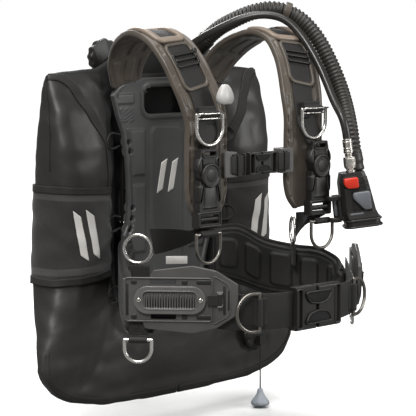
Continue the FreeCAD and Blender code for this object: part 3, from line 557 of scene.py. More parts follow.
bump = add(tree, "ShaderNodeBump", {}, {"Height": grain.outputs["Distance"], "Strength": 0.25,
                                       "Distance": 0.0003, "Normal": soft.outputs["Normal"]})
surface_of(tree, add(tree, "ShaderNodeBsdfPrincipled", {},
                     {"Base Color": colour.outputs[2], "Roughness": gloss.outputs[0],
                      "Normal": bump.outputs["Normal"], "IOR": 1.5}))
cell.data.materials.clear()
cell.data.materials.append(coated)
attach(cell, "harness")
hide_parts("air_cell")


def laid_on(thing, ground, lift, thickness):
    """Lays an open strip on another mesh, lift above it, and gives it its thickness, in mm."""
    wrap = thing.modifiers.new("wrap", "SHRINKWRAP")
    wrap.target, wrap.wrap_method, wrap.wrap_mode = ground, "NEAREST_SURFACEPOINT", "ABOVE_SURFACE"
    wrap.offset = 0.001 * lift
    with_modifiers(thing)
    even = thing.modifiers.new("even", "SMOOTH")
    even.factor, even.iterations = 0.4, 3
    wall = thing.modifiers.new("wall", "SOLIDIFY")
    wall.thickness, wall.offset, wall.use_even_offset = 0.001 * thickness, 0, True
    return with_modifiers(thing)


def eased(points, count):
    """count points on a smooth line through the given ones: cubic pieces, whose slope at a
    point is that of its neighbours on both sides."""
    p = np.asarray(points, float)
    s = np.r_[0, np.cumsum(np.linalg.norm(np.diff(p[:, :3], axis=0), axis=1))]
    slope = np.gradient(p, s, axis=0)
    q = np.linspace(0, s[-1], count)
    i = np.clip(np.searchsorted(s, q, "right") - 1, 0, len(s) - 2)
    h = (s[i + 1] - s[i])[:, None]
    u = (q - s[i])[:, None] / h
    return ((2 * u ** 3 - 3 * u ** 2 + 1) * p[i] + (u ** 3 - 2 * u ** 2 + u) * h * slope[i]
            + (3 * u ** 2 - 2 * u ** 3) * p[i + 1] + (u ** 3 - u ** 2) * h * slope[i + 1])


def woven(name, dark, light, thread, relief, roughness):
    """Woven cloth on the UV map: warp and weft as two square sine waves a half step apart,
    thread spacing in millimetres; the gaps are dark and low."""
    material, tree = bare_material(name)
    uv = add(tree, "ShaderNodeSeparateXYZ", {},
             {"Vector": add(tree, "ShaderNodeTexCoord", {}, {}).outputs["UV"]})
    waves = []
    for k, axis in enumerate("XY"):
        turn = add(tree, "ShaderNodeMath", {"operation": "MULTIPLY"},
                   {0: uv.outputs[axis], 1: 2 * np.pi * 1000 / thread})
        waves.append(add(tree, "ShaderNodeMath", {"operation": "SINE"}, {0: turn.outputs[0]}))
    cross = add(tree, "ShaderNodeMath", {"operation": "MULTIPLY"},
                {0: waves[0].outputs[0], 1: waves[1].outputs[0]})
    rib = add(tree, "ShaderNodeMapRange", {}, {"Value": cross.outputs[0],
                                               "From Min": -1.0, "From Max": 1.0})
    drift = add(tree, "ShaderNodeTexNoise", {},
                {"Vector": add(tree, "ShaderNodeTexCoord", {}, {}).outputs["Object"],
                                                 "Scale": 60.0, "Detail": 5.0})
    mixed = add(tree, "ShaderNodeMath", {"operation": "MULTIPLY"},
                {0: rib.outputs[0], 1: drift.outputs["Fac"]})
    spread = add(tree, "ShaderNodeMapRange", {}, {"Value": mixed.outputs[0], "From Max": 0.6})
    colour = add(tree, "ShaderNodeMix", {"data_type": "RGBA"},
                 {0: spread.outputs[0], 6: linear(dark), 7: linear(light)})
    bump = add(tree, "ShaderNodeBump", {}, {"Height": rib.outputs[0], "Strength": 0.7,
                                            "Distance": 0.001 * relief})
    shader = add(tree, "ShaderNodeBsdfPrincipled", {},
                 {"Base Color": colour.outputs[2], "Roughness": roughness,
                  "Normal": bump.outputs["Normal"],
                  "Sheen Weight": 0.06, "Sheen Roughness": 0.4})
    surface_of(tree, shader)
    return material


# polyester binding tape, 16 mm wide: threads about 0.5 mm apart, drawn at 1.6 mm to show
tape_weave = woven("woven_binding_tape", "#0e0d0c", "#2b2825", 1.6, 0.25, 0.72)


def flat_strip(name, path, across, width, material, columns=7):
    """An open strip of the given width, in millimetres, along a path."""
    u = np.linspace(-width / 2, width / 2, columns)
    return piece(name, swept(path, across, np.stack([u, np.zeros(columns)], -1)),
                 material, None, round_cols=False)


def tape(name, points, width, side, lift=1.0, thickness=1.2):
    """Binding tape sewn on the cover along points; its flat side faces the front."""
    path = eased(points, max(12, int(6 * len(points)))) * (side, 1, 1)
    t = np.gradient(path, axis=0)
    across = np.cross(t, (0.0, 1.0, 0.0)) + (0.0, 0.0, 1e-6)
    strip = laid_on(flat_strip(name, path, across, width, tape_weave), cell, lift, thickness)
    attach(strip, "harness")
    return strip


panel_edge = [(207, -104, 197), (190, -114, 195), (176, -124, 186), (163, -134, 166), (146, -144, 134),
              (127, -141, 104), (119, -137, 70), (118, -136, 30), (118, -136, -30), (118, -136, -80),
              (118, -136, -110), (124, -140, -132)]
outer_edge = [(212, -104, 196), (214, -110, 170), (217, -118, 120), (219, -119, 60)]
hem_edge = [(251, -153, -190), (252, -153, -214), (248, -153, -232),
            (238, -153, -247), (222, -153, -259), (198, -153, -270),
            (140, -153, -281), (70, -153, -284), (0, -153, -284)]
sides = ((1, "left"), (-1, "right"))
for side, word in sides:
    tape(f"panel_tape_{word}", panel_edge, 17, side)
    tape(f"outer_tape_{word}", outer_edge, 8, side, 0.8)
    tape(f"hem_tape_{word}", hem_edge, 15, side)

# ---- Side bands -------------------------------------------------------------------------------
# The wide sleeves of ribbed cordura that keep each lobe from flapping, edged with tape, with
# two woven grey stripes and a pair of plain pale bars sewn on.
cordura, tree = bare_material("woven_cordura")
# 1000-denier nylon: threads 0.6 mm apart, drawn at 2.2 mm; near black with a dusty top
uv = add(tree, "ShaderNodeTexCoord", {}, {})
check = add(tree, "ShaderNodeTexChecker", {}, {"Vector": uv.outputs["UV"], "Scale": 1000 / 1.1,
                                              "Color1": (0, 0, 0, 1), "Color2": (1, 1, 1, 1)})
speck = add(tree, "ShaderNodeTexNoise", {}, {"Vector": uv.outputs["Object"],
                                             "Scale": 420.0, "Detail": 3.0})
axes = add(tree, "ShaderNodeSeparateXYZ", {}, {"Vector": uv.outputs["Object"]})
ground = add(tree, "ShaderNodeMix", {"data_type": "RGBA"},
             {0: speck.outputs["Fac"], 6: linear("#100f0e"), 7: linear("#2c2926")})
stripes = []
for height, slope in ((0.022, 0.05), (-0.082, -0.05)):
    tilt = add(tree, "ShaderNodeMath", {"operation": "MULTIPLY_ADD"},
               {0: add(tree, "ShaderNodeMath", {"operation": "ABSOLUTE"},
                       {0: axes.outputs["X"]}).outputs[0],
                1: slope, 2: height - slope * 0.17})
    gap = add(tree, "ShaderNodeMath", {"operation": "SUBTRACT"},
              {0: axes.outputs["Z"], 1: tilt.outputs[0]})
    near = add(tree, "ShaderNodeMath", {"operation": "ABSOLUTE"}, {0: gap.outputs[0]})
    stripes.append(add(tree, "ShaderNodeMapRange", {},
                       {"Value": near.outputs[0], "From Min": 0.0052, "From Max": 0.0046}))
both = add(tree, "ShaderNodeMath", {"operation": "MAXIMUM"},
           {0: stripes[0].outputs[0], 1: stripes[1].outputs[0]})
colour = add(tree, "ShaderNodeMix", {"data_type": "RGBA"},
             {0: both.outputs[0], 6: ground.outputs[2], 7: linear("#3d3b39")})
bump = add(tree, "ShaderNodeBump", {}, {"Height": check.outputs["Fac"],
                                        "Strength": 0.35, "Distance": 0.0004})
surface_of(tree, add(tree, "ShaderNodeBsdfPrincipled",
                     {}, {"Base Color": colour.outputs[2],
                          "Roughness": 0.78, "Normal": bump.outputs["Normal"], "Sheen Weight": 0.2}))
# pale grey printed vinyl, flat and matte
printed = moulded("printed_pale_vinyl", "#c6c2bc", "#d9d6d1", 0.55, 2.0, 0.05)


def lobe_line(z, front_only=False):
    """The lobe's outline at a height, from its inner front edge round to behind it."""
    wide = np.interp(z, (-160, -100, 0, 95), (240, 226, 219, 217))
    edge = np.interp(z, (-160, -100, 0, 95), (-115, -98, -92, -92))
    points = [(118, -136), (126, -140), (140, -146), (160, -147), (wide - 22, -146), (wide - 7, -139),
              (wide, -122), (wide, edge - 6), (wide - 8, edge + 12), (wide - 22, edge + 26),
              (wide - 48, -52), (152, -54)]
    return np.array([(x, y, z) for x, y in points[:5 if front_only else None]])


for side, word in sides:
    rows = np.linspace(-1, 1, 56)
    grid = np.stack([eased(lobe_line(z), 96) for z in -32 + 68 * rows])
    grid[..., 2] += (grid[..., 0] - 165) / 50 * 3.5 * rows[:, None]
    band = laid_on(piece(f"side_band_{word}", grid, cordura, None, round_cols=False, side=side),
                   cell, 2.0, 1.4)
    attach(band, "harness")
    for edge, k in (("top", 53), ("low", 2)):
        strip = flat_strip(f"band_tape_{edge}_{word}", grid[k] * (side, 1, 1),
                           np.tile((0.0, 0.0, 1.0), (96, 1)), 11, tape_weave)
        strip = laid_on(strip, cell, 3.4, 1.2)
        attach(strip, "harness")
    for k, middle in enumerate((163, 188)):
        v = np.linspace(-1, 1, 25)
        u = np.linspace(-1, 1, 9)
        grid_bar = np.stack(np.broadcast_arrays(middle + 8.5 * u[None, :] + 7 * v[:, None], -160.0,
                                                -32 + 33 * v[:, None] + 5 * u[None, :]), -1)
        bar = laid_on(piece(f"band_mark_{k}_{word}", grid_bar, printed, None, round_cols=False,
                            side=side), band, 0.7, 0.5)
        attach(bar, "harness")

# ---- Backplate and back pad -------------------------------------------------------------------
# The stiff plate that the cylinder's bands run through, injection moulded from filled nylon,
# and the soft pad in front of it: one moulding of grey gel rubber with raised panels, a rim,
# half-moon notches and a rounded hole for the hand.
# filled nylon: black, satin, with the fine spark texture of its mould
black_nylon = moulded("moulded_glass_filled_nylon", "#141312", "#242220", 0.42, 0.9, 0.06)
softened("backplate", black_nylon, 1.0)


def step(d, soft):
    """0 below zero, 1 above soft, and a smooth rise between."""
    t = np.clip(d / soft, 0, 1)
    return t * t * (3 - 2 * t)


def in_box(x, z, centre, half, corner):
    """How far a point lies inside a rounded rectangle; negative outside."""
    x, z = np.broadcast_arrays(x, z)
    q = np.stack([np.abs(x - centre[0]) - half[0], np.abs(z - centre[1]) - half[1]]) + corner
    return corner - np.linalg.norm(np.maximum(q, 0), axis=0) - np.minimum(q.max(0), 0)


pad_heights = (-132, -130, -118, -90, -62, -42, -28, 5, 40, 72, 109, 136, 166, 178, 190)
pad_halves = (44, 62, 76, 80, 88, 88, 81, 78, 79, 81, 87, 98, 107, 92, 66)
z = np.linspace(-131.5, 190, 260)[:, None]
half = np.interp(z, pad_heights, pad_halves)
x = np.linspace(-1, 1, 171)[None, :] * half
z = np.broadcast_to(z, x.shape).copy()
rim_in = half - np.abs(x)
tall = 8.6 + 3.2 * step(rim_in, 2.5) * (1 - step(rim_in - 6, 3)) - 2.5 * (1 - step(rim_in, 1.6))
tall += 2.4 * step(in_box(x, z, (0, 2), (34, 118), 16), 5)
for low, high in ((44, 116), (-72, 34)):
    inside = np.minimum(np.minimum(np.abs(x) - 42, half - 11 - np.abs(x)),
                        np.minimum(z - low, high - z))
    tall += 3.4 * step(inside, 4.5)
for height in (96, 82, -2, -18, -34):
    tall -= 5.0 * step(5.2 - np.hypot(np.abs(x) - (half - 10), (z - height) * 1.1), 1.6)
ribbed = step(in_box(np.abs(x), z, (78, 136), (15, 11), 4), 3)
tall += ribbed * (1.1 * np.cos(2 * np.pi * (z + 0.5 * np.abs(x)) / 5.4) + 0.6)
tall += 1.6 * step(in_box(np.abs(x), z, (80, 160), (17, 8), 3), 2)
hole = in_box(x, z, (0, 156), (44, 20), 13)
tall += 2.6 * step(hole + 9, 3) * (1 - step(hole + 2, 2))
# points just inside the hole move to its edge, and the faces wholly inside it go
pull_x = np.gradient(hole, axis=1) / np.maximum(np.gradient(x, axis=1), 0.1)
pull_z = np.gradient(hole, axis=0) / np.gradient(z, axis=0)
size = np.maximum(np.hypot(pull_x, pull_z), 0.3)
inside = np.clip(hole, 0, 4)
x, z = x - inside * pull_x / size ** 2, z - inside * pull_z / size ** 2
grid = np.stack([x, -119 - np.minimum(tall, 14.5), z], -1)
pad = piece("back_pad_gel", grid, black_nylon, None, round_cols=False)
deep = np.minimum.reduce([hole[:-1, :-1], hole[1:, :-1], hole[:-1, 1:], hole[1:, 1:]]) > 0
work = bmesh.new()
work.from_mesh(pad.data)
work.faces.ensure_lookup_table()
bmesh.ops.delete(work, geom=[work.faces[k] for k in np.flatnonzero(deep.ravel())], context="FACES")
work.to_mesh(pad.data)
work.free()
wall = pad.modifiers.new("wall", "SOLIDIFY")
wall.thickness, wall.offset = 0.0075, -1 if pad.data.polygons[0].normal.y < 0 else 1
with_modifiers(pad)
# gel-filled thermoplastic rubber: mid grey, matte with a soft sheen over the panels
gel = moulded("moulded_gel_rubber", "#3a3a3a", "#4c4c4b", 0.4, 1.0, 0.08, 0.1)
pad.data.materials.clear()
pad.data.materials.append(gel)
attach(pad, "harness")
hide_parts("back_pad")
for k, middle in enumerate((-11, 11)):
    v, u = np.linspace(-1, 1, 15)[:, None], np.linspace(-1, 1, 7)[None, :]
    mark = piece(f"pad_mark_{k}", np.stack(np.broadcast_arrays(middle + 6.5 * u + 5 * v, -142.0,
                                                               42 + 24 * v + 3 * u), -1),
                 printed, None, round_cols=False)
    laid_on(mark, pad, 0.4, 0.4)
    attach(mark, "harness")

# ---- Tank bands and cam buckles ---------------------------------------------------------------
# Two 50 mm straps that clamp the cylinder. Each runs through the plate's slots, crosses in
# front of it, and is drawn tight by an over-centre cam buckle behind the wearer's left.
# polyester webbing: ribs 1.5 mm apart, drawn at 2.4 mm, matte black with a grey bloom
webbing = woven("woven_polyester_webbing", "#070606", "#211e1b", 2.4, 0.35, 0.6)


def flat_loop(width, thick, corner=None, count=5):
    """A rounded rectangle of points, anticlockwise, for a strap's or a bar's cross-section."""
    corner = min(width, thick) * 0.45 if corner is None else corner
    turn = np.linspace(0, np.pi / 2, count)
    quarter = corner * np.stack([np.cos(turn), np.sin(turn)], -1)
    corners = []
    for k, (sx, sy) in enumerate(((1, 1), (-1, 1), (-1, -1), (1, -1))):
        c, s = np.round(np.cos(k * np.pi / 2)), np.round(np.sin(k * np.pi / 2))
        corners.append(quarter @ np.array([[c, s], [-s, c]])
                       + (sx * (width / 2 - corner), sy * (thick / 2 - corner)))
    return np.concatenate(corners)


def strap(name, path, across, width, material, body, side=1, thick=2.2, closed=False):
    """Webbing carried along a path."""
    return piece(name, swept(path, across, flat_loop(width, thick), closed), material, body,
                 round_rows=closed, side=side)


grip = np.radians(-16.94)
arc = np.linspace(grip, np.pi - grip, 90)
around = np.concatenate([93.4 * np.stack([np.cos(arc), np.sin(arc)], -1),
                         np.linspace((-89, -29), (-62.5, -115.5), 20),
                         np.linspace((-60, -117), (60, -117), 20),
                         np.linspace((62.5, -115.5), (89, -29), 20)])
for height, word in ((0, "upper"), (-90, "lower")):
    path = np.concatenate([around, np.full((len(around), 1), height)], 1)
    band = strap(f"tank_strap_{word}", path, np.tile((0.0, 0.0, 1.0), (len(path), 1)),
                 50, webbing, "harness", thick=2.4, closed=True)
    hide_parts(f"tank_band_{word}")
    softened(f"cam_lever_{word}", black_nylon, 0.9)
softened("cam_frames", black_nylon, 0.7)

# ---- Shoulder pads ----------------------------------------------------------------------------
# Each pad is one moulding of taupe gel rubber that arches over the shoulder: a rim down both
# sides, a channel for the webbing, long cushions on its inner face, and small lashing slots.
pad_stations = [(84, -134, 184, 26), (91, -144, 207, 32), (100, -166, 232, 37), (110, -197, 250, 39),
                (117, -230, 257, 40), (117, -260, 248, 40), (112, -285, 223, 40), (106, -302, 191, 40),
                (100, -313, 163, 40), (97, -319, 136, 38), (97, -319, 104, 38), (97, -319, 70, 38),
                (97, -319, 38, 37.5), (99, -319, 20, 33), (101, -319, 4, 22)]
arch = evenly(eased(pad_stations, 400), 280)
arch_run = np.r_[0, np.cumsum(np.linalg.norm(np.diff(arch[:, :3], axis=0), axis=1))]
t = np.gradient(arch[:, :3], axis=0)
t /= np.linalg.norm(t, axis=1, keepdims=True)
arch_wide = np.array((1.0, 0, 0)) - t * t[:, :1]
arch_wide /= np.linalg.norm(arch_wide, axis=1, keepdims=True)
arch_out = np.cross(t, arch_wide)


def on_pad(a, v, h):
    """The point a across, v along and h above the middle of the left shoulder pad."""
    a, v, h = np.broadcast_arrays(a, v, h)
    base, wide, out = [np.stack([np.interp(v, arch_run, m[:, k]) for k in range(3)], -1)
                       for m in (arch[:, :3], arch_wide, arch_out)]
    return base + wide * a[..., None] + out * h[..., None]


v = arch_run[:, None]
half = arch[:, 3:4]
u = np.linspace(-1, 1, 75)[None, :]
a = u * half
edge_in = half - np.abs(a)
end_in = np.minimum(v, arch_run[-1] - v)
rounded_off = 1 - step(np.minimum(edge_in, end_in), 1.5)
top = 2.4 + 2.6 * step(edge_in, 2) * (1 - step(edge_in - 3.5, 2.5)) - 1.6 * rounded_off
top += 1.9 * step(np.abs(a) - 22, 2.5) * (1 - step(np.abs(a) - 27, 3)) * step(v - 60, 12)
ridge = in_box(np.abs(a) - 30, np.mod(v, 46) - 23, (0, 0), (3.2, 17), 3)
top += 1.3 * step(ridge, 1.5) * step(v - 100, 20)
for height in np.arange(300, 400, 17.0):
    top -= 3.6 * step(in_box(a, v, (-34, height), (1.9, 4.0), 1.6), 0.9)
under = -3.2 - 0.9 * step(edge_in - 2, 3)
cushion = in_box(np.mod(a + 38.5, 25.6) - 12.8, np.mod(v, 52) - 26, (0, 0), (10, 22), 7)
under = under - 1.9 * step(cushion, 4) * step(edge_in - 5, 2) + 1.2 * rounded_off
profile = np.concatenate([np.stack([a, top], -1), np.stack([a, under], -1)[:, ::-1]], 1)
grid = arch[:, None, :3] + arch_wide[:, None] * profile[..., :1] + arch_out[:, None] * profile[..., 1:]
# thermoplastic rubber in taupe: satin, paler and glossier where the arch is stretched
taupe = moulded("moulded_taupe_rubber", "#3e3832", "#5d5449", 0.36, 1.1, 0.06, 0.1)
for side, word in sides:
    pad = piece(f"shoulder_gel_{word}", grid, taupe, "harness", side=side)
    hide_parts(f"shoulder_pad_{word}")

# ---- Shoulder straps, frames and slides -------------------------------------------------------
# 38 mm webbing in the pad's channel, held by a moulded frame over the arch, a raised U lower
# down and a three-bar slide with a small rivet; it ends round the bar of the swivel buckle.
strap_v = np.linspace(94, 300, 90)
over = on_pad(0.0, strap_v, 4.2 + 2.0 * step(strap_v - 280, 20))
down = eased([over[-1], (102, -327.5, 122), (106, -329.5, 112), (111, -333, 103)], 16)[1:]
strap_path = np.concatenate([over, down])
rim_paint = moulded("moulded_taupe_frame", "#766a5f", "#96887a", 0.33, 1.4, 0.05)


def frame_on_pad(name, middle, half_a, half_v, corner, bar, lift, material, body, side):
    """A rounded rectangular frame that follows the pad: its centre line is the rectangle laid
    on the pad, and its bar is an oval, bar wide and high."""
    line = flat_loop(2 * half_a, 2 * half_v, corner, 9)
    line = evenly(np.concatenate([line, line[:1]]), 97)[:-1]
    path = on_pad(line[:, 0], middle + line[:, 1], lift)
    t = np.roll(path, -1, 0) - np.roll(path, 1, 0)
    out = np.stack([np.interp(middle + line[:, 1], arch_run, arch_out[:, k]) for k in range(3)], -1)
    return piece(name, swept(path, np.cross(out, t), flat_loop(bar[0], bar[1], min(bar) * 0.42), True),
                 material, body, round_rows=True, side=side)


steel = metal("polished_stainless_steel", "#e6e3de", 0.24, 5.0)
for side, word in sides:
    run = strap(f"shoulder_webbing_{word}", strap_path, np.tile((1.0, 0, 0), (len(strap_path), 1)), 38,
                webbing, "harness", side=side)
    arch_frame = frame_on_pad(f"arch_frame_{word}", 141,
                              25, 30, 9, (10.5, 6.4), 5.8, rim_paint, "harness", side)
    frame_on_pad(f"strap_rail_{word}", 214, 23.5, 34, 10,
                 (5.2, 5.4), 5.0, taupe, "harness", side)
    frame_on_pad(f"slide_{word}", 206, 22, 8.5, 4, (3.6, 3.4),
                 7.4, black_nylon, "harness", side)
    bar_line = on_pad(np.linspace(-21, 21, 9), 206.0, 7.6)
    piece(f"slide_bar_{word}", swept(bar_line, np.tile((0, 0, 1.0), (9, 1)),
                                     ring_profile(np.full(9, 1.9), 12)),
          black_nylon, "harness", side=side)
    head = on_pad(np.full(7, 25.0 * side), 196.0, 6 + np.array((0, 2.2, 3.2, 3.9, 4.3, 4.5, 4.55)))
    piece(f"slide_rivet_{word}", swept(head, np.tile((1.0, 0.1, 0), (7, 1)),
                                       ring_profile(np.array((4.2, 4.2, 3.9, 3.2, 2.3, 1.2, 0.3)),
                                                    20)),
          black_nylon, "harness", side=side)
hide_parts("shoulder_straps")
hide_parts("strap_frames")

# ---- Webbing of the harness: belts, lower straps, ring tabs ------------------------------------
# 50 mm and 38 mm webbing folded round each bar and sewn flat. The tabs that carry the rings are
# doubled, with a box and a cross of bonded thread through both layers.
def local(origin, x_axis, z_axis, out):
    """Turns (x, z, height) in a flat frame of its own into the vest's frame."""
    axes = np.array([x_axis, z_axis, out], float)
    axes /= np.linalg.norm(axes, axis=1, keepdims=True)
    return lambda x, z, h: np.asarray(origin, float) + np.stack(np.broadcast_arrays(x,
                                                                                    z, h), -1) @ axes


def facing_front(x, y, z):
    """A flat frame whose x runs to the wearer's left, z up, and height out to the front."""
    return local((x, y, z), (1, 0, 0), (0, 0, 1), (0, -1, 0))


def by_box(thing):
    """A UV map from the side each face looks to most: its two other coordinates, in metres."""
    mesh = thing.data
    point = places(mesh)
    normal = np.zeros((len(mesh.polygons), 3))
    mesh.polygons.foreach_get("normal", normal.ravel())
    normal = normal.reshape(-1, 3)
    count = np.zeros(len(mesh.polygons), int)
    corner = np.zeros(len(mesh.loops), int)
    mesh.polygons.foreach_get("loop_total", count)
    mesh.loops.foreach_get("vertex_index", corner)
    most = np.repeat(np.abs(normal).argmax(1), count)
    p = point[corner]
    along = np.where(most == 0, p[:, 1], p[:, 0])
    rise = np.where(most == 2, p[:, 1], p[:, 2])
    layer = mesh.uv_layers.get("UVMap") or mesh.uv_layers.new(name="UVMap")
    layer.data.foreach_set("uv", np.stack([along, rise], -1).ravel())
    return thing


def thread(name, at, corners, radius, side, body="harness", closed=False):
    """A line of bonded thread through corners given in a flat frame."""
    line = np.array([at(*c) for c in corners])
    path = evenly(np.concatenate([line, line[:1]]) if closed else line, 40)
    normal = at(0, 0, 1.0) - at(0, 0, 0.0)
    path = path[:-1] if closed else path
    return piece(name, swept(path, np.tile(normal, (len(path), 1)),
                             ring_profile(np.full(len(path), radius), 6), closed),
                 seam_thread, body, round_rows=closed, side=side)


def box_and_cross(name, at, x, z, height, side):
    """A sewn box with both diagonals, as one line of thread, x and z its half sizes."""
    turns = [(-x, -z), (x, -z), (x, z), (-x, z), (-x, -z), (x, z), (x, -z), (-x, z)]
    return thread(name, at, [(a, b, height) for a, b in turns], 0.35, side)


# bonded polyester thread: black, waxed, each stitch a soft highlight
seam_thread = moulded("bonded_thread", "#161412", "#3a3631", 0.5, 0.5, 0.05)
tabs = shell_of("ring_tabs", "ring_tab_webbing", 0.9)
tabs.data.materials.clear()
tabs.data.materials.append(webbing)
by_box(tabs)
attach(tabs, "harness")
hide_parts("ring_tabs")

belt_height = -118.5
waist_line = [(207.4, -305.9, -108.5), (176, -339.6, -112), (145, -373, -115.5), (116, -404, -118.3),
              (94, -419, belt_height), (72, -429, belt_height), (44.6, -437.9, belt_height)]
lower_line = np.array([(111, -336, -8.4), (112.6, -332, -12.4), (115, -327, -16), (124, -307, -22),
                       (135, -282, -28), (145, -261, -32.6)], float)
for side, word in sides:
    path = evenly(eased(waist_line, 200), 90)
    belt = strap(f"waist_webbing_{word}", path, np.tile((0.0, 0, 1), (len(path), 1)), 49.6, webbing,
                 "harness", side=side)
    fold = local((61, -431.8, belt_height), (0.95, 0.31, 0), (0, 0, 1), (-0.31, -0.95, 0))
    thread(f"belt_seam_{word}", fold, [(5, -22, 0.9), (5, 22, 0.9)], 0.4, side)
    path = evenly(eased(lower_line, 160), 60)
    turn = np.radians(np.interp(np.arange(60), [0, 8, 59], [0, 8, 85]))
    across = np.stack([np.cos(turn), np.zeros(60), np.sin(turn)], -1)
    low = strap(f"lower_webbing_{word}", path, across, 37, webbing, "harness", side=side)
    hip_tab = local((174 - 58 * -0.6820 + 0.7314 * -0.4, -352 - 58 * -0.7314 - 0.6820 * -0.4, -156),
                    (-0.6820, -0.7314, 0), (0, 0, 1), (0.7314, -0.6820, 0))
    box_and_cross(f"hip_tab_seam_{word}", lambda x, z,
                  h, f=hip_tab: f(x, z + 17, h + 0.5), 9.5, 9.5, 0.2, side)
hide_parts("waist_belts")
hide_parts("lower_straps")

# ---- Lumbar pads ------------------------------------------------------------------------------
# Foam cushions that wrap the hips, in black laminated nylon bound with tape; their inner face
# has long raised panels. The cloth is pulled in along every seam.
lumbar = np.array([(86, -141, -118, -44), (116, -164, -128, -42), (142, -196, -142, -62),
                   (172, -236, -148, -72), (195, -268, -150, -77), (205, -291, -148, -90),
                   (196, -306, -147, -98), (186, -316, -146, -104)], float)
run = evenly(eased(lumbar, 300), 170)
path = np.concatenate([run[:, :2], np.zeros((len(run), 1))], 1)
length = np.r_[0, np.cumsum(np.linalg.norm(np.diff(path, axis=0), axis=1))][:, None]
end_in = np.minimum(length, length[-1] - length)
cushion_turn = np.linspace(-1, 1, 60)[None, :]
half = (run[:, 3:4] - run[:, 2:3]) / 2
middle = (run[:, 3:4] + run[:, 2:3]) / 2
z = cushion_turn * half
in_edge = half - np.abs(z)
body_thick = 6.6 * np.sqrt(1 - (1 - step(np.minimum(in_edge, end_in + 2), 9)) ** 2) + 0.9
ripple = 0.25 * np.sin(length / 3.1 + 3 * cushion_turn) * step(8 - in_edge, 5)
inner = body_thick + ripple - 1.2 * step(3 - np.abs(in_edge - 7.5), 2)
panels = ((22, 16, 24), (62, 14, 26), (106, 19, 27), (150, 16, 24), (190, 13, 20), (222, 10, 15))
for centre, across, tall in panels:
    inner = inner + 3.6 * step(in_box(length + 0 * z, z, (centre, 0),
                                      (across, np.minimum(tall, half - 11)), 9), 4.5)
outer = body_thick - ripple
for k in range(5):
    outer = outer - 0.8 * step(1.6 - np.abs(z - (k - 2) * 16), 1.2) * step(in_edge - 9, 4)
turns = np.concatenate([np.stack([z + middle, outer], -1),
                        np.stack([z + middle, -inner], -1)[:, ::-1]], 1)
grid = swept(path, np.tile((0.0, 0, 1), (len(path), 1)), turns)
# the raised panels belong on the side of the wearer
if grid[100, 90, 0] > grid[100, 30, 0]:
    turns[..., 1] *= -1
    grid = swept(path, np.tile((0.0, 0, 1), (len(path), 1)), turns)
# laminated 420-denier nylon over foam: black, faintly glossy where it is stretched
laminate = woven("laminated_nylon", "#0c0b0a", "#262320", 1.2, 0.16, 0.55)
for side, word in sides:
    cushion = piece(f"lumbar_cushion_{word}", grid, laminate, "harness", side=side)
    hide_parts(f"lumbar_pad_{word}")
    for edge, sign in (("top", 1), ("low", -1)):
        line = np.concatenate([run[:, :2], run[:, 3:4] if sign > 0 else run[:, 2:3]], 1)[3:-3]
        strap(f"lumbar_binding_{edge}_{word}", line, np.tile((0.0, 0, 1), (len(line), 1)),
              7.5, tape_weave, "harness", side=side, thick=5.0)

# ---- Hip plates, catches and latches ----------------------------------------------------------
# A stiff plate on each hip, injection moulded in grey nylon, that carries a weight pocket's
# catch: an oval frame over a ribbed bed, two pan-head screws, and a hinged T-shaped latch.
hip_grey = moulded("moulded_grey_nylon", "#3a3937", "#575552", 0.38, 1.2, 0.05)
frame_grey = moulded("moulded_light_grey_nylon", "#4a4846", "#6b6966", 0.34, 1.2, 0.05)
hip = local((174, -352, -100), (-0.6820, -0.7314, 0), (0, 0, 1), (0.7314, -0.6820, 0))


def rounded(corners, corner, count=6):
    """A closed outline with each corner cut by a quadratic curve that starts corner mm away."""
    p = np.asarray(corners, float)
    into, out = np.roll(p, 1, 0) - p, np.roll(p, -1, 0) - p
    reach = [np.minimum(corner, 0.49 * np.linalg.norm(d, axis=1, keepdims=True)) /
             np.linalg.norm(d, axis=1, keepdims=True) for d in (into, out)]
    t = np.linspace(0, 1, count)[None, :, None]
    a, b = (p + into * reach[0])[:, None], (p + out * reach[1])[:, None]
    return ((1 - t) ** 2 * a + 2 * t * (1 - t) * p[:, None] + t ** 2 * b).reshape(-1, 2)


def rect(x, z, half_x, half_z, corner):
    """A rounded rectangle's outline."""
    return rounded([(x - half_x, z - half_z), (x + half_x, z - half_z), (x + half_x, z + half_z),
                    (x - half_x, z + half_z)], corner)


def boss(name, outline, levels, at, material, body, side=1):
    """A raised solid: at each level (inset, height) its outline moves inwards by the inset."""
    o = np.asarray(outline, float)
    area = np.sum(o[:, 0] * np.roll(o[:, 1], -1) - np.roll(o[:, 0], -1) * o[:, 1])
    t = np.roll(o, -1, 0) - np.roll(o, 1, 0)
    t /= np.maximum(np.linalg.norm(t, axis=1, keepdims=True), 1e-9)
    inward = np.sign(area) * np.stack([-t[:, 1], t[:, 0]], -1)
    rows = [at(*(o + inset * inward).T, height) for inset, height in levels]
    return crisp(piece(name, np.stack(rows), material, body, side=side), 50)


def hoop(name, outline, bar, at, height, material, body, side=1):
    """A closed bar along an outline: bar is (width in the plane, height above it)."""
    o = np.asarray(outline, float)
    path = at(*o.T, height)
    t = np.roll(path, -1, 0) - np.roll(path, 1, 0)
    out = at(0, 0, 1.0) - at(0, 0, 0.0)
    return piece(name, swept(path, np.cross(np.tile(out, (len(o), 1)), t), flat_loop(*bar), True),
                 material, body, round_rows=True, side=side)


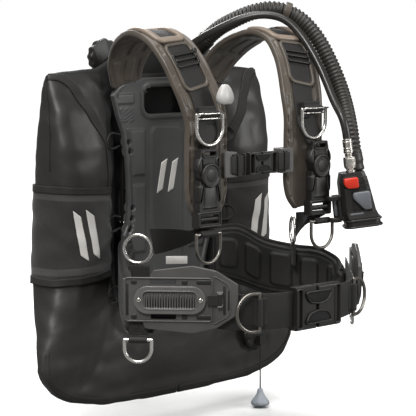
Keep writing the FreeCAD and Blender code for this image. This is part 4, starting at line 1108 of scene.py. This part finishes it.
for side, word in sides:
    softened(f"hip_plate_{word}", hip_grey, 1.2)
    softened(f"hip_latch_{word}", black_nylon, 0.7)
    hoop(f"hip_bed_rim_{word}", rect(-16, 0, 59, 29.5, 5),
         (2.4, 2.6), hip, 5.6, hip_grey, "harness", side)
    hoop(f"hip_front_rim_{word}", rounded([(46, -33), (68, -20),
                                           (68, 20), (46, 33), (46, 30), (46, -30)], 7),
         (2.0, 2.2), hip, 5.4, hip_grey, "harness", side)
    # painted shade: black nylon blocks fill the grey plate's recesses in place of the shadow in them
    for k, (x, z, a, b) in enumerate(((-63, 23.7, 4, 3.2), (-63, -23.7, 4, 3.2), (6, 23.7, 4, 3.2),
                                      (6, -23.7, 4, 3.2), (-72, 0, 1.6, 22), (60, 0, 1.8, 20),
                                      (66, 0, 1.4, 14), (33, 24, 11, 3.0), (33, -24, 11, 3.0))):
        boss(f"hip_recess_{k}_{word}", rect(x, z, a, b, min(a, b) * 0.8),
             ((0, 4.6), (0, 5.35), (0.5, 5.6)), hip,
             black_nylon, "harness", side)
    v = np.linspace(-47.5, 20, 271)
    wave = 9.3 + 1.35 * np.clip(1.5 * np.cos(2 * np.pi * (v + 47.5) / 3.55), -1, 1)
    h = np.stack([np.full(271, 8.6), wave, wave, np.full(271, 8.6)], -1)
    rows = np.array([-10.6, -10.0, 10.0, 10.6])
    piece(f"catch_ribs_{word}", hip(v[:, None], rows[None, :], h),
          black_nylon, "harness", round_cols=False, side=side)
    hoop(f"catch_lip_{word}", rect(-14, 0, 37.5, 12.4, 9),
         (2.0, 1.6), hip, 11.0, frame_grey, "harness", side)
    for k, x in enumerate((-56, 28)):
        a = np.linspace(0, 2 * np.pi, 25)[:-1]
        head = np.array([(3.2, 11.0), (3.2, 11.9), (2.7, 12.5), (1.6, 12.9), (0.5, 13.0)])
        rows = [hip(x + r * np.cos(a), r * np.sin(a), t) for r, t in head]
        piece(f"screw_head_{k}_{word}", np.stack(rows), chrome, "harness", side=side)
        # painted shade: a thin sheet of black nylon on the chrome head stands for the shadow in its
        # slot
        boss(f"screw_slot_{k}_{word}", rect(x, 0, 1.9, 0.35, 0.2),
             ((0, 12.8), (0, 13.06)), hip, black_nylon, "harness", side)
softened("ribbed_catches", frame_grey, 1.2)
softened("catch_screws", steel, 0.4)

# ---- Rings ------------------------------------------------------------------------------------
# D-rings bent from 5 mm rod and welded at the bar: polished stainless steel on the shoulders
# and hips, dark oxide steel on the waist and below the ladder locks.
# black-oxide steel: dark grey, low polish, paler along the bends
gunmetal = metal("black_oxide_steel", "#84807a", 0.32, 3.0)
for word in ("left", "right"):
    for ring, finish in (("shoulder", steel), ("hip", steel),
                         ("lower", gunmetal), ("waist", gunmetal)):
        softened(f"{ring}_ring_{word}", finish, 0.3, 60)
softened("strap_rings", steel, 0.3, 60)
for side, word in sides:
    for k, (back, drop, reach) in enumerate(((-5.6, 1.5, 24.5), (-0.6, -5.7, 24.0))):
        bar = np.linspace((104 - reach, -335 + back, 147 + drop),
                          (104 + reach, -335 + back, 147 + drop), 5)
        piece(f"ring_bar_{k}_{word}", swept(bar, np.tile((0, 0, 1.0), (5, 1)),
                                            ring_profile(np.full(5, 1.2), 14)),
              steel, f"shoulder_ring_{word}", side=side)

# ---- Swivel buckles and ladder locks ----------------------------------------------------------
# Acetal buckles of the shoulder straps: a plug with two ears and a slot, a plain round swivel
# with a raised rim, a tapered socket with two release pads, and a three-bar adjuster below.
front = facing_front(111, -342, 0)
for side, word in sides:
    softened(f"swivel_buckle_{word}", black_nylon, 1.2)
    turn = np.linspace(0, 2 * np.pi, 49)[:-1]
    disc = np.array([(17.0, 0), (17.0, 4.2), (16.2, 5.4), (14.6, 5.6), (13.6, 4.9), (13.2, 3.7),
                     (12.2, 3.3), (9.4, 3.7), (8.9, 4.4), (8.0, 4.6), (4, 5.0), (0.4, 5.1)])
    rows = [front(r * np.cos(turn), 64 + r * np.sin(turn), h) for r, h in disc]
    piece(f"swivel_cap_{word}", np.stack(rows), black_nylon, "harness", side=side)
    hoop(f"plug_slot_rim_{word}", rect(0, 93.5, 12.6, 4.2, 3.5),
         (2.6, 2.4), front, 0.4, black_nylon, "harness", side)
    for k, sign in enumerate((-1, 1)):
        boss(f"plug_ear_{k}_{word}", rounded([(sign * 12, 62), (sign * 22.5, 71),
                                              (sign * 22, 80), (sign * 15, 92), (sign * 11, 84)], 5),
             ((0, -8), (0, 0.3), (1.6, 1.8), (3.0, 2.2)),
             front, black_nylon, "harness", side)
        boss(f"socket_pad_{k}_{word}", rounded([(sign * 11, 54), (sign * 20.4, 50), (sign * 20.4, 28),
                                                (sign * 16.5, 25), (sign * 13, 38)], 4),
             ((0, -8), (0, 1.4), (1.2, 2.6), (3.0, 2.9)),
             front, black_nylon, "harness", side)
    boss(f"socket_face_{word}", rounded([(-11.5, 49), (11.5, 49),
                                         (12.5, 24), (15.5, 17), (-15.5, 17), (-12.5, 24)], 4),
         ((0, 0.2), (0.8, 1.9), (2.4, 2.4)), front, black_nylon, "harness", side)
    bars = facing_front(111, -343, 0)
    hoop(f"ladder_rim_{word}", rect(0, 3, 20.6, 9.6, 3),
         (3.4, 3.0), bars, 0.2, black_nylon, "harness", side)
    ribs = np.linspace(-16.5, 16.5, 133)
    wave = 3.4 + 0.45 * np.clip(1.6 * np.cos(2 * np.pi * ribs / 3.0), -1, 1)
    a = np.linspace(0, 2 * np.pi, 25)[:-1]
    bar = np.stack([111 + np.repeat(ribs[:, None], 24, 1), -339.5 + wave[:, None] * np.cos(a) * 0.95,
                    2.6 + wave[:, None] * np.sin(a)], -1)
    piece(f"ladder_bar_{word}", bar, black_nylon, "harness", side=side)
softened("ladder_locks", black_nylon, 1.2)

# ---- Chest strap ------------------------------------------------------------------------------
# 25 mm webbing between the pads: light grey clips that slide on the pads' inner edges, and a
# small side-release buckle whose two prongs show in the socket's rounded openings.
chest_height = 74
softened("chest_sliders", frame_grey, 1.4)
for side, word in sides:
    line = np.array([(57.5, -330.5, chest_height), (50, -330.5, chest_height),
                     (40, -330.7, chest_height), (31, -330.5, chest_height),
                     (24, -330.5, chest_height)], float)
    band = strap(f"chest_band_{word}", evenly(eased(line, 80), 40),
                 np.tile((0.0, 0, 1), (40, 1)), 25, webbing, "chest_strap", side=side)
    if side == 1:
        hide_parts("chest_webbing")
    for k, x in enumerate((33.5, 47.0)):
        hoop(f"chest_keeper_{k}_{word}", flat_loop(4.6, 29, 1.6),
             (2.2, 2.2), local((x, -330.5, chest_height), (0, -1, 0), (0, 0, 1), (1, 0, 0)),
             0.0, black_nylon, "chest_strap", side)
    face = facing_front(0, -336, chest_height)
    hoop(f"chest_slot_rim_{word}", rect(22, 0, 4.6, 14.4, 2.4),
         (2.2, 2.0), face, 0.0, black_nylon, "chest_strap", side)
softened("chest_buckle_socket", black_nylon, 0.9)
softened("chest_buckle_plug", black_nylon, 0.9)


def prongs(name, at, size, body):
    """The two release prongs of a side buckle as they show in its openings: rounded openings above and
    below a waisted middle, filled with near-black slabs as painted shade."""
    for k, sign in enumerate((-1, 1)):
        # painted shade: a near-black slab in each opening stands for the shadow inside the socket
        boss(f"{name}_recess_{k}", rounded([(-0.52 * size, sign * 0.46 * size),
                                            (0.52 * size, sign * 0.46 * size),
                                            (0.36 * size, sign * 0.2 * size), (0, sign * 0.13 * size),
                                            (-0.36 * size, sign * 0.2 * size)], 0.1 * size),
             ((0, -0.6), (0, 0.25), (0.3, 0.35)), at, socket_painted_shade, body)
        hoop(f"{name}_prong_{k}", rounded([(-0.6 * size, sign * 0.5 * size),
                                           (0.6 * size, sign * 0.5 * size),
                                           (0.42 * size, sign * 0.18 * size), (0, sign * 0.1 * size),
                                           (-0.42 * size, sign * 0.18 * size)], 0.14 * size),
             (0.055 * size, 0.075 * size), at, 0.1, black_nylon, body)


# painted shade: near-black matte nylon that fills the socket's openings in place of the shadow inside
# them
socket_painted_shade = moulded("painted_shade_nylon", "#050505", "#0a0a09", 0.8, 0.9, 0.03)
prongs("chest", facing_front(0, -336.0, chest_height), 25, "chest_strap")

# ---- Waist buckle -----------------------------------------------------------------------------
# The 50 mm side-release buckle that closes the belt: a socket and a plug, each with a tall slot
# for the webbing, and rounded release openings above and below the middle.
softened("waist_buckle_socket", black_nylon, 1.6)
softened("waist_buckle_plug", black_nylon, 1.6)
face = facing_front(0, -446, belt_height)
prongs("waist", face, 44, "harness")
for k, sign in enumerate((-1, 1)):
    hoop(f"waist_slot_rim_{k}", rect(sign * 38, 0, 5.2, 27.5, 3),
         (2.8, 2.6), face, 0.0, black_nylon, "harness")
    fold = facing_front(sign * 38, -441.5, belt_height)
    a = np.linspace(-0.5 * np.pi, 0.5 * np.pi, 15)
    rows = [fold(3.6 * np.sin(a), np.full(15, z), 2.4 * np.cos(a)) for z in np.linspace(-24, 24, 30)]
    piece(f"waist_fold_{k}", np.stack(rows), webbing, "harness", round_cols=False)

# ---- Inflator ---------------------------------------------------------------------------------
# The power inflator on_face the breathing hose's end: a tapered black housing, a red button with a
# slanted side, a large grey one, three vents beside them, and an oval rubber mouthpiece.
def on_face(x, z, h):
    """The point x across, z up and h out from the axis, in the inflator's own frame."""
    return at_inflator(np.stack(np.broadcast_arrays(x, -h, z), -1))


def on_top(x, y, h):
    """The point x across, y deep and h up, in the inflator's own frame."""
    return at_inflator(np.stack(np.broadcast_arrays(x, y, h), -1))


softened("inflator_body", black_nylon, 2.0, 15)
softened("inflator_mouthpiece", smooth_rubber, 2.5, 15)
softened("inflator_holder", black_nylon, 1.2)
# ABS in signal red and in mid grey: satin, spark-textured
red_abs = moulded("moulded_red_abs", "#c8230f", "#dc3b22", 0.36, 0.8, 0.05)
grey_abs = moulded("moulded_grey_abs", "#5c5f63", "#73767a", 0.38, 0.8, 0.05)
for name, outline, finish, slot in (("inflate_button",
                                     [(-18.6, 33.8), (3.2, 33.8), (3.2, 17.6),
                                      (-13.0, 17.6), (-18.6, 24)], red_abs, "red_plastic"),
                                    ("deflate_button",
                                     [(-7.0, 11.6), (18.6, 11.6), (18.6, -15.6),
                                      (8, -15.6), (-7.6, 3)], grey_abs, "grey_plastic")):
    face = rounded(outline, 3.4)
    key = boss(f"{name}_key", face, ((0.1, 19.1), (0.1, 25.0), (0.6, 26.2), (1.6, 26.8)),
               on_face, finish, name)
    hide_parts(name)
    hoop(f"{name}_rim", np.array(rounded(outline, 3.8)) * 1.02,
         (1.5, 2.4), on_face, 22.4, black_nylon, "harness")
for k in range(3):
    hoop(f"inflator_vent_{k}", rect(12.0, 31.5 - 5.6 * k, 4.4, 1.5, 1.4),
         (1.3, 1.8), on_face, 21.5, black_nylon, "harness")
for k, (z, grow) in enumerate(((-40, 1.4), (-30.5, 1.0))):
    hoop(f"mouthpiece_ring_{k}", rect(5, 0, 26.4 + grow, 24.4 + grow, 15),
         (2.2, 3.0), on_top, z, smooth_rubber, "harness")
boss("inflator_label", rect(-4, -21.5, 10, 2.2, 1.6), ((0, 20.4), (0, 21.5), (0.3, 21.7)),
     on_face, grey_abs, "harness")
boss("holder_bar", rounded([(-34.4, -22), (-30.4, -22), (-30.4, 2), (-34.4, 2)], 1.8),
     ((0, 3.0), (0, 4.8), (0.7, 5.4)), on_face, grey_abs, "harness")
straight_up = at_inflator(np.array([[0, 0, 1.0]]))[0] - at_inflator(np.zeros((1, 3)))[0]
for k, z in enumerate((-27, 5)):
    arm = at_inflator(eased([(-27, -12.5, z), (-33, -15, z),
                             (-42, -13, z + 1), (-47, -6, z + 1), (-49, 1, z)], 40))
    piece(f"holder_arm_{k}", swept(arm, np.tile(straight_up, (40, 1)), flat_loop(7, 3.2, 1.2)),
          black_nylon, "harness")

# ---- Hose couplings ---------------------------------------------------------------------------
# The quick-release coupling of the supply hose: a crimped ferrule, a hex, a knurled sleeve
# that slides back on its own, all chrome plated; the breathing hose has a moulded elbow.
softened("coupler_body", chrome, 0.4, 25)
softened("coupler_sleeve", chrome, 0.4, 25)
softened("supply_fitting", chrome, 0.3, 25)
softened("hose_elbow", smooth_rubber, 1.2)
softened("hose_keeper", taupe, 1.0)
a = np.linspace(0, 2 * np.pi, 97)[:-1]
z = np.linspace(49.5, 62, 26)
knurl = 8.75 + 0.28 * np.clip(1.5 * np.cos(24 * a), -1, 1)[None, :] * np.ones(26)[:, None]
knurl[[0, -1]] = 8.3
rows = np.stack([-5 + knurl * np.cos(a), -11 + knurl * np.sin(a), np.repeat(z[:, None], 96, 1)], -1)
piece("sleeve_knurl", at_inflator(rows), chrome, "coupler_sleeve")
for k, z in enumerate((72.5, 76.5, 86)):
    turn = np.linspace(0, 2 * np.pi, 41)[:-1]
    ring = np.stack([-5 + 7.4 * np.cos(turn), -11 + 7.4 * np.sin(turn), np.full(40, float(z))], -1)
    piece(f"crimp_ring_{k}", swept(at_inflator(ring), np.tile((0, 0, 1.0), (40, 1)),
                                   ring_profile(np.full(40, 0.7), 10), True),
          chrome, "harness", round_rows=True)

# ---- Dump valves ------------------------------------------------------------------------------
# Round exhaust valves screwed on the cell: a lobed cap with radial slots and a plain raised
# boss, over a bayonet collar. The lower one is worked by the cord under its guide.
def valve_cap(name, centre, direction, radius, height, lobes):
    """A cap of radius r(a) = radius (1 + 0.05 cos(lobes a)) with slots between its lobes."""
    turn = np.linspace(0, 2 * np.pi, 145)[:-1]
    rows = []
    for r, h in ((1.0, -0.72), (1.05, -0.68), (1.06, -0.3),
                 (1.02, 0.1), (0.95, 0.42), (0.86, 0.62), (0.78, 0.66), (0.70, 0.68),
                 (0.56, 0.7), (0.48, 0.76), (0.43, 0.96), (0.36, 1.0), (0.2, 1.03), (0.01, 1.04)):
        lobe = 1 + (0.045 * np.cos(lobes * turn) if r > 0.6 else 0)
        slot = step(np.cos(lobes * turn + np.pi) - 0.35, 0.4) * (0.5 < r < 0.9) * 0.28
        rows.append(np.stack([centre[0] + radius * r * lobe * np.cos(turn),
                              centre[1] + direction * height * (h - slot),
                              centre[2] + radius * r * lobe * np.sin(turn)], -1))
    return piece(name, np.stack(rows), black_nylon, "harness")


softened("dump_valve_lower", black_nylon, 1.0)
softened("dump_valve_shoulder", black_nylon, 1.0)
valve_cap("valve_cap_lower", (157, -164, -216), -1, 24.2, 4.6, 8)
valve_cap("valve_cap_shoulder", (-95, -92, 222), 1, 24.5, 12.0, 12)

# ---- Shoulder dump knob, side loops and label -------------------------------------------------
# Small parts: the white faceted knob of the shoulder valve's pull, the elastic loops behind
# the back pad's edges, and a plain sewn label.
knob_white = moulded("moulded_white_abs", "#aeaca8", "#c4c2be", 0.35, 0.9, 0.05)
turn = np.linspace(0, 2 * np.pi, 49)[:-1]
facets = 1 + 0.07 * np.cos(3 * turn)
rows = [np.stack([-76 + 1.36 * r * facets * np.cos(turn),
                  -336 + 0.8 * r * facets * np.sin(turn), np.full(48, 160.0 + h)], -1) for r,
        h in ((1, 0), (7.0, 0.3), (9.2, 2.0), (10.6, 6),
              (10.9, 10), (10.0, 15), (8.2, 20), (6.0, 24.5), (3.6, 27.2), (0.5, 28))]
knob = piece("shoulder_dump_knob", np.stack(rows), knob_white, "dump_pull_shoulder")
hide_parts("dump_pull_shoulder")

for side, word in sides:
    for k, z in enumerate((100, -22, -128)):
        loop = eased([(92, -124, z + 9), (108, -131, z + 11), (122, -138, z + 7),
                      (126, -140, z), (122, -138, z - 7), (108, -131, z - 11), (92, -124, z - 9)], 60)
        strap(f"side_loop_{k}_{word}", loop, np.tile((0.55, -0.8, 0.0), (60, 1)),
              9, webbing, "harness", side=side, thick=2.0)
label = local((-128, -293, -57), (0.79, -0.61, 0.0), (0, 0, 1), (-0.61, -0.79, 0))
boss("sewn_label", rect(0, 0, 15, 5.5, 1.0), ((0, 0), (0, 0.9), (0.2, 1.1)),
     label, printed, "harness")
